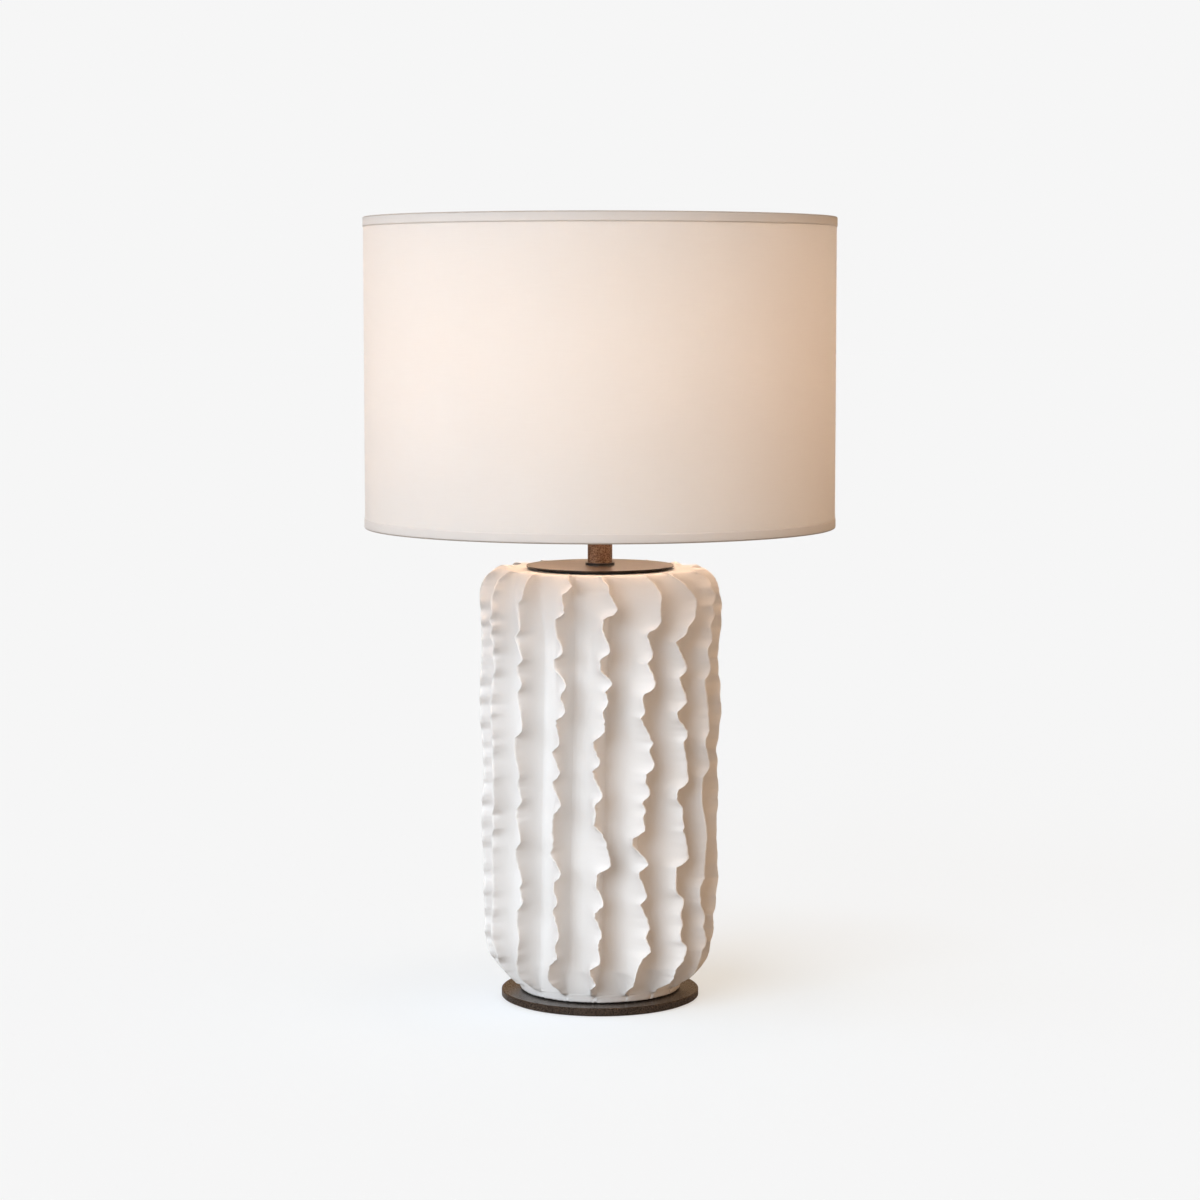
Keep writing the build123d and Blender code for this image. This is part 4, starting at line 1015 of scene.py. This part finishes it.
# %% All finishes by slot
finishes = {
    "felt": dense_felt(),
    "bronze_plate": plate_bronze,
    "black_foam": plain("black_foam", (0.02, 0.02, 0.02), 0.9, grain=0.6 * MM, depth=0.15 * MM),
    "zinc_steel": plain("zinc_steel", (0.60, 0.60, 0.59), 0.32, metal=1.0, grain=0.5 * MM),
    "white_plastic": plain("white_plastic", (0.82, 0.82, 0.80), 0.4, drift=0.03),
    "white_ceramic": clay,
    "black_rubber": plain("black_rubber", (0.03, 0.03, 0.03), 0.75, depth=0.04 * MM),
    "bronze_disc": disc_bronze,
    "black_metal": plain("black_metal", (0.022, 0.02, 0.019), 0.35, metal=0.3),
    "bronze_tube": neck_bronze,
    "black_plastic": plain("black_plastic", (0.026, 0.026, 0.026), 0.38),
    "porcelain": plain("porcelain", (0.85, 0.84, 0.81), 0.15, drift=0.03, Coat_Weight=0.4),
    "brass": plain("brass", (0.75, 0.56, 0.26), 0.28, metal=1.0),
    "nickel": plain("nickel", (0.75, 0.74, 0.71), 0.22, metal=1.0, grain=0.7 * MM),
    "white_wire": plain("white_wire", (0.82, 0.81, 0.79), 0.35, drift=0.03),
    "shade_trim": edging_cloth,
    "shade_cloth": shade_cloth,
    "shade_lining": lining(),
    "solder": plain("solder", (0.56, 0.56, 0.54), 0.35, metal=1.0, depth=0.08 * MM),
    "black_glass": plain("black_glass", (0.03, 0.03, 0.035), 0.12),
    "bulb_plastic": plain("bulb_plastic", (0.84, 0.84, 0.82), 0.42, drift=0.03),
    "light_board": light_board(),
    "opal_globe": opal_glass(),
}
print(len(finishes), "finishes")

# %% [markdown]
# ## Dressing the pieces
# On the real lamp each piece has one finish. The finishes could be given out by hand, one piece at a time, but the
# record says which finish each packed piece takes, so its own table of slots does the assigning. The new pieces
# take theirs by the same names.

# %% Assign the finishes
slot_of = {part["node"]: part["material_slot"] for part in frame["record"]["subparts"]}
new_pieces = [(pot, "white_ceramic"), (cloth, "shade_cloth"), (cap, "nickel")]
new_pieces += [(edging, "shade_trim") for edging in edgings]
for piece, slot in [(piece, slot_of[name]) for name, piece in nodes.items()] + new_pieces:
    piece.data.materials.clear()
    piece.data.materials.append(finishes[slot])
print(len(nodes), "packed pieces and", len(new_pieces), "new ones dressed")

# %% [markdown]
# ## Light
# The photograph looks lit by a large soft light from the front left, a weaker one from the left and a faint warm
# glow from the right. What they do not reach is filled by a dim, warm room, so the valleys turn tan, and the
# lamp's own bulb warms the top of the pot. Area lights could stand in for the windows, but they would light the
# floor in spots. Suns light it evenly, and a wide angle makes them soft.

# %% Suns
ROOM = (0.47, 0.31, 0.185)
SUNS = {  # name: azimuth, elevation and width in degrees, strength, colour
    "left_window": (-76, 22, 60, 1.1, (0.74, 0.86, 1.0)),
    "front_softbox": (-31, 26, 44, 2.6, (0.75, 0.87, 0.97)),
    "warm_wall": (72, 16, 56, 0.55, (1.0, 0.66, 0.42)),
}
SAMPLES = 80


def direction(azimuth, elevation):
    """Unit vector towards a light at an azimuth from the front, growing to the right, and an elevation."""
    turn, rise = math.radians(azimuth), math.radians(elevation)
    return Vector((math.sin(turn) * math.cos(rise), -math.cos(turn) * math.cos(rise), math.sin(rise)))


def share_on_floor(elevation, width):
    """
    How much of a wide sun's strength a level floor gets: the mean of the height over points spread evenly on the
    sun's disc, with those below the horizon left out.
    """
    edge = math.cos(math.radians(width) / 2)
    away = np.arccos(1 - (1 - edge) * (np.arange(SAMPLES)[:, None] + 0.5) / SAMPLES)
    turn = 2 * math.pi * (np.arange(SAMPLES)[None, :] + 0.5) / SAMPLES
    rise = math.radians(elevation)
    height = math.sin(rise) * np.cos(away) + math.cos(rise) * np.sin(away) * np.cos(turn)
    return float(np.maximum(height, 0).mean()) * 2 / (1 + edge)


floor_light = np.array(ROOM)
for name, (azimuth, elevation, width, strength, tint) in SUNS.items():
    data = bpy.data.lights.new(name, "SUN")
    data.energy = strength
    data.angle = math.radians(width)
    data.color = tint
    sun = bpy.data.objects.new(name, data)
    sun.rotation_euler = direction(azimuth, elevation).to_track_quat("Z", "Y").to_euler()
    bpy.context.scene.collection.objects.link(sun)
    floor_light += strength * share_on_floor(elevation, width) / math.pi * np.array(tint)
print("light on the open floor", floor_light.round(3))

# %% [markdown]
# ## Floor
# The photograph's floor is one pale grey with the background, and only a faint shadow near the lamp shows that it
# is there. A floor lit until it is that bright would throw its light back on to the lamp. A shadow catcher would
# do, but it needs the compositor. So the camera sees a floor of its own: a darker matt surface, which takes the
# shadows, plus a glow that makes up what is missing from the backdrop where no shadow falls. For that the light
# on the floor is added up: the suns and the room, a pool under the bulb, less the part of the room that the shade
# hides. The floor's tint fades with the distance from the lamp, and the shadow with it. All other rays meet a
# plain matt floor.

# %% Floor light
BACKDROP = 0.922
POOL_GAIN = 1.2
POOL_EDGE = 0.73
POOL_BLUR = 0.17
ROOM_LOSS = 0.32
ROOM_GAP = 0.36

floor_finish = Finish("pale_floor")


def floor_vector(operation, first, second):
    """A Vector Math node on the floor, which works on all three channels of a colour."""
    return floor_finish.node("ShaderNodeVectorMath", {"operation": operation}, {0: first, 1: second})


def floor_mix(share, first, second):
    """A colour on the floor between two others that are given without their fourth number."""
    return floor_finish.mix(share, colour(*first), colour(*second))


bulb_low, bulb_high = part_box("bulb_globe")
bulb_height = (bulb_low.z + bulb_high.z) / 2
bulb_radius = (bulb_high.x - bulb_low.x) / 2
pool = np.array(BULB_GLOW) * BULB_STRENGTH * POOL_GAIN * (bulb_radius / bulb_height) ** 2
hidden_room = np.array(ROOM) * ROOM_LOSS
away = floor_finish.node("ShaderNodeVectorMath", {"operation": "LENGTH"}, {0: floor_finish.place()}, output=1)
in_pool = ((away / bulb_height) ** 2 + 1) ** -1.5 * ((POOL_EDGE - away) / POOL_BLUR).as_share()
under_shade = ((away / ROOM_GAP) ** 2 + 1) ** -2
pool_there = floor_mix(in_pool, (0, 0, 0), pool.tolist())
hidden_there = floor_mix(under_shade, (0, 0, 0), hidden_room.tolist())
light_there = floor_vector("SUBTRACT", floor_vector("ADD", tuple(floor_light), pool_there), hidden_there)
print("the bulb adds at most", pool.round(3), "to the floor")

# %% Floor
NEAR_TINT = (0.32, 0.43, 0.54)
FAR_TINT = (0.06, 0.08, 0.10)
FADE_START = 0.13
FADE_END = 0.42
FLOOR_BOUNCE = (0.44, 0.42, 0.40)
FLOOR_REACH = 30.0


def seen_by_camera(finish):
    """1 for camera rays and 0 for the rest."""
    return finish.node("ShaderNodeLightPath", output="Is Camera Ray")


near = ((FADE_END - away) / (FADE_END - FADE_START)).as_share()
tint = floor_mix(near, FAR_TINT, NEAR_TINT)
missing = floor_vector("SUBTRACT", (BACKDROP,) * 3, floor_vector("MULTIPLY", tint, light_there))
matt = floor_finish.node("ShaderNodeBsdfDiffuse", sockets={"Color": tint})
lift = floor_finish.node("ShaderNodeEmission", sockets={"Color": missing, "Strength": 1.0})
for_camera = floor_finish.node("ShaderNodeAddShader", sockets={0: matt, 1: lift})
for_others = floor_finish.node("ShaderNodeBsdfDiffuse", sockets={"Color": colour(*FLOOR_BOUNCE)})
which = {0: seen_by_camera(floor_finish), 1: for_others, 2: for_camera}
floor_material = floor_finish.surface(floor_finish.node("ShaderNodeMixShader", sockets=which))

floor_points = np.array([(-1, -1, 0), (1, -1, 0), (1, 1, 0), (-1, 1, 0)]) * FLOOR_REACH
floor_mesh = bpy.data.meshes.new("floor")
floor_mesh.from_pydata(floor_points.tolist(), [], [(0, 1, 2, 3)])
floor_mesh.materials.append(floor_material)
floor = bpy.data.objects.new("floor", floor_mesh)
bpy.context.scene.collection.objects.link(floor)
print("floor reaches", FLOOR_REACH, "m each way")

# %% [markdown]
# ## Background
# Behind the floor's edge the photograph goes on in the same pale grey. The world could be that grey for every ray,
# but then it would light the lamp as a white room does, and the bronze would mirror it. So only the camera sees
# the backdrop, and every other ray gets the dim, warm room.

# %% World
world = bpy.data.worlds.new("studio")
world.use_nodes = True
bpy.context.scene.world = world
sky = Finish(tree=world.node_tree)
dim = sky.node("ShaderNodeBackground", sockets={"Color": colour(*ROOM), "Strength": 1.0})
pale = sky.node("ShaderNodeBackground", sockets={"Color": colour(1, 1, 1), "Strength": BACKDROP})
both = sky.node("ShaderNodeMixShader", sockets={0: seen_by_camera(sky), 1: dim, 2: pale})
sky.node("ShaderNodeOutputWorld", sockets={"Surface": both})
print("backdrop", BACKDROP, "room", ROOM)

# %% [markdown]
# ## Size
# The visual model has to stay the size of the packed one, as the real lamp has only one size.
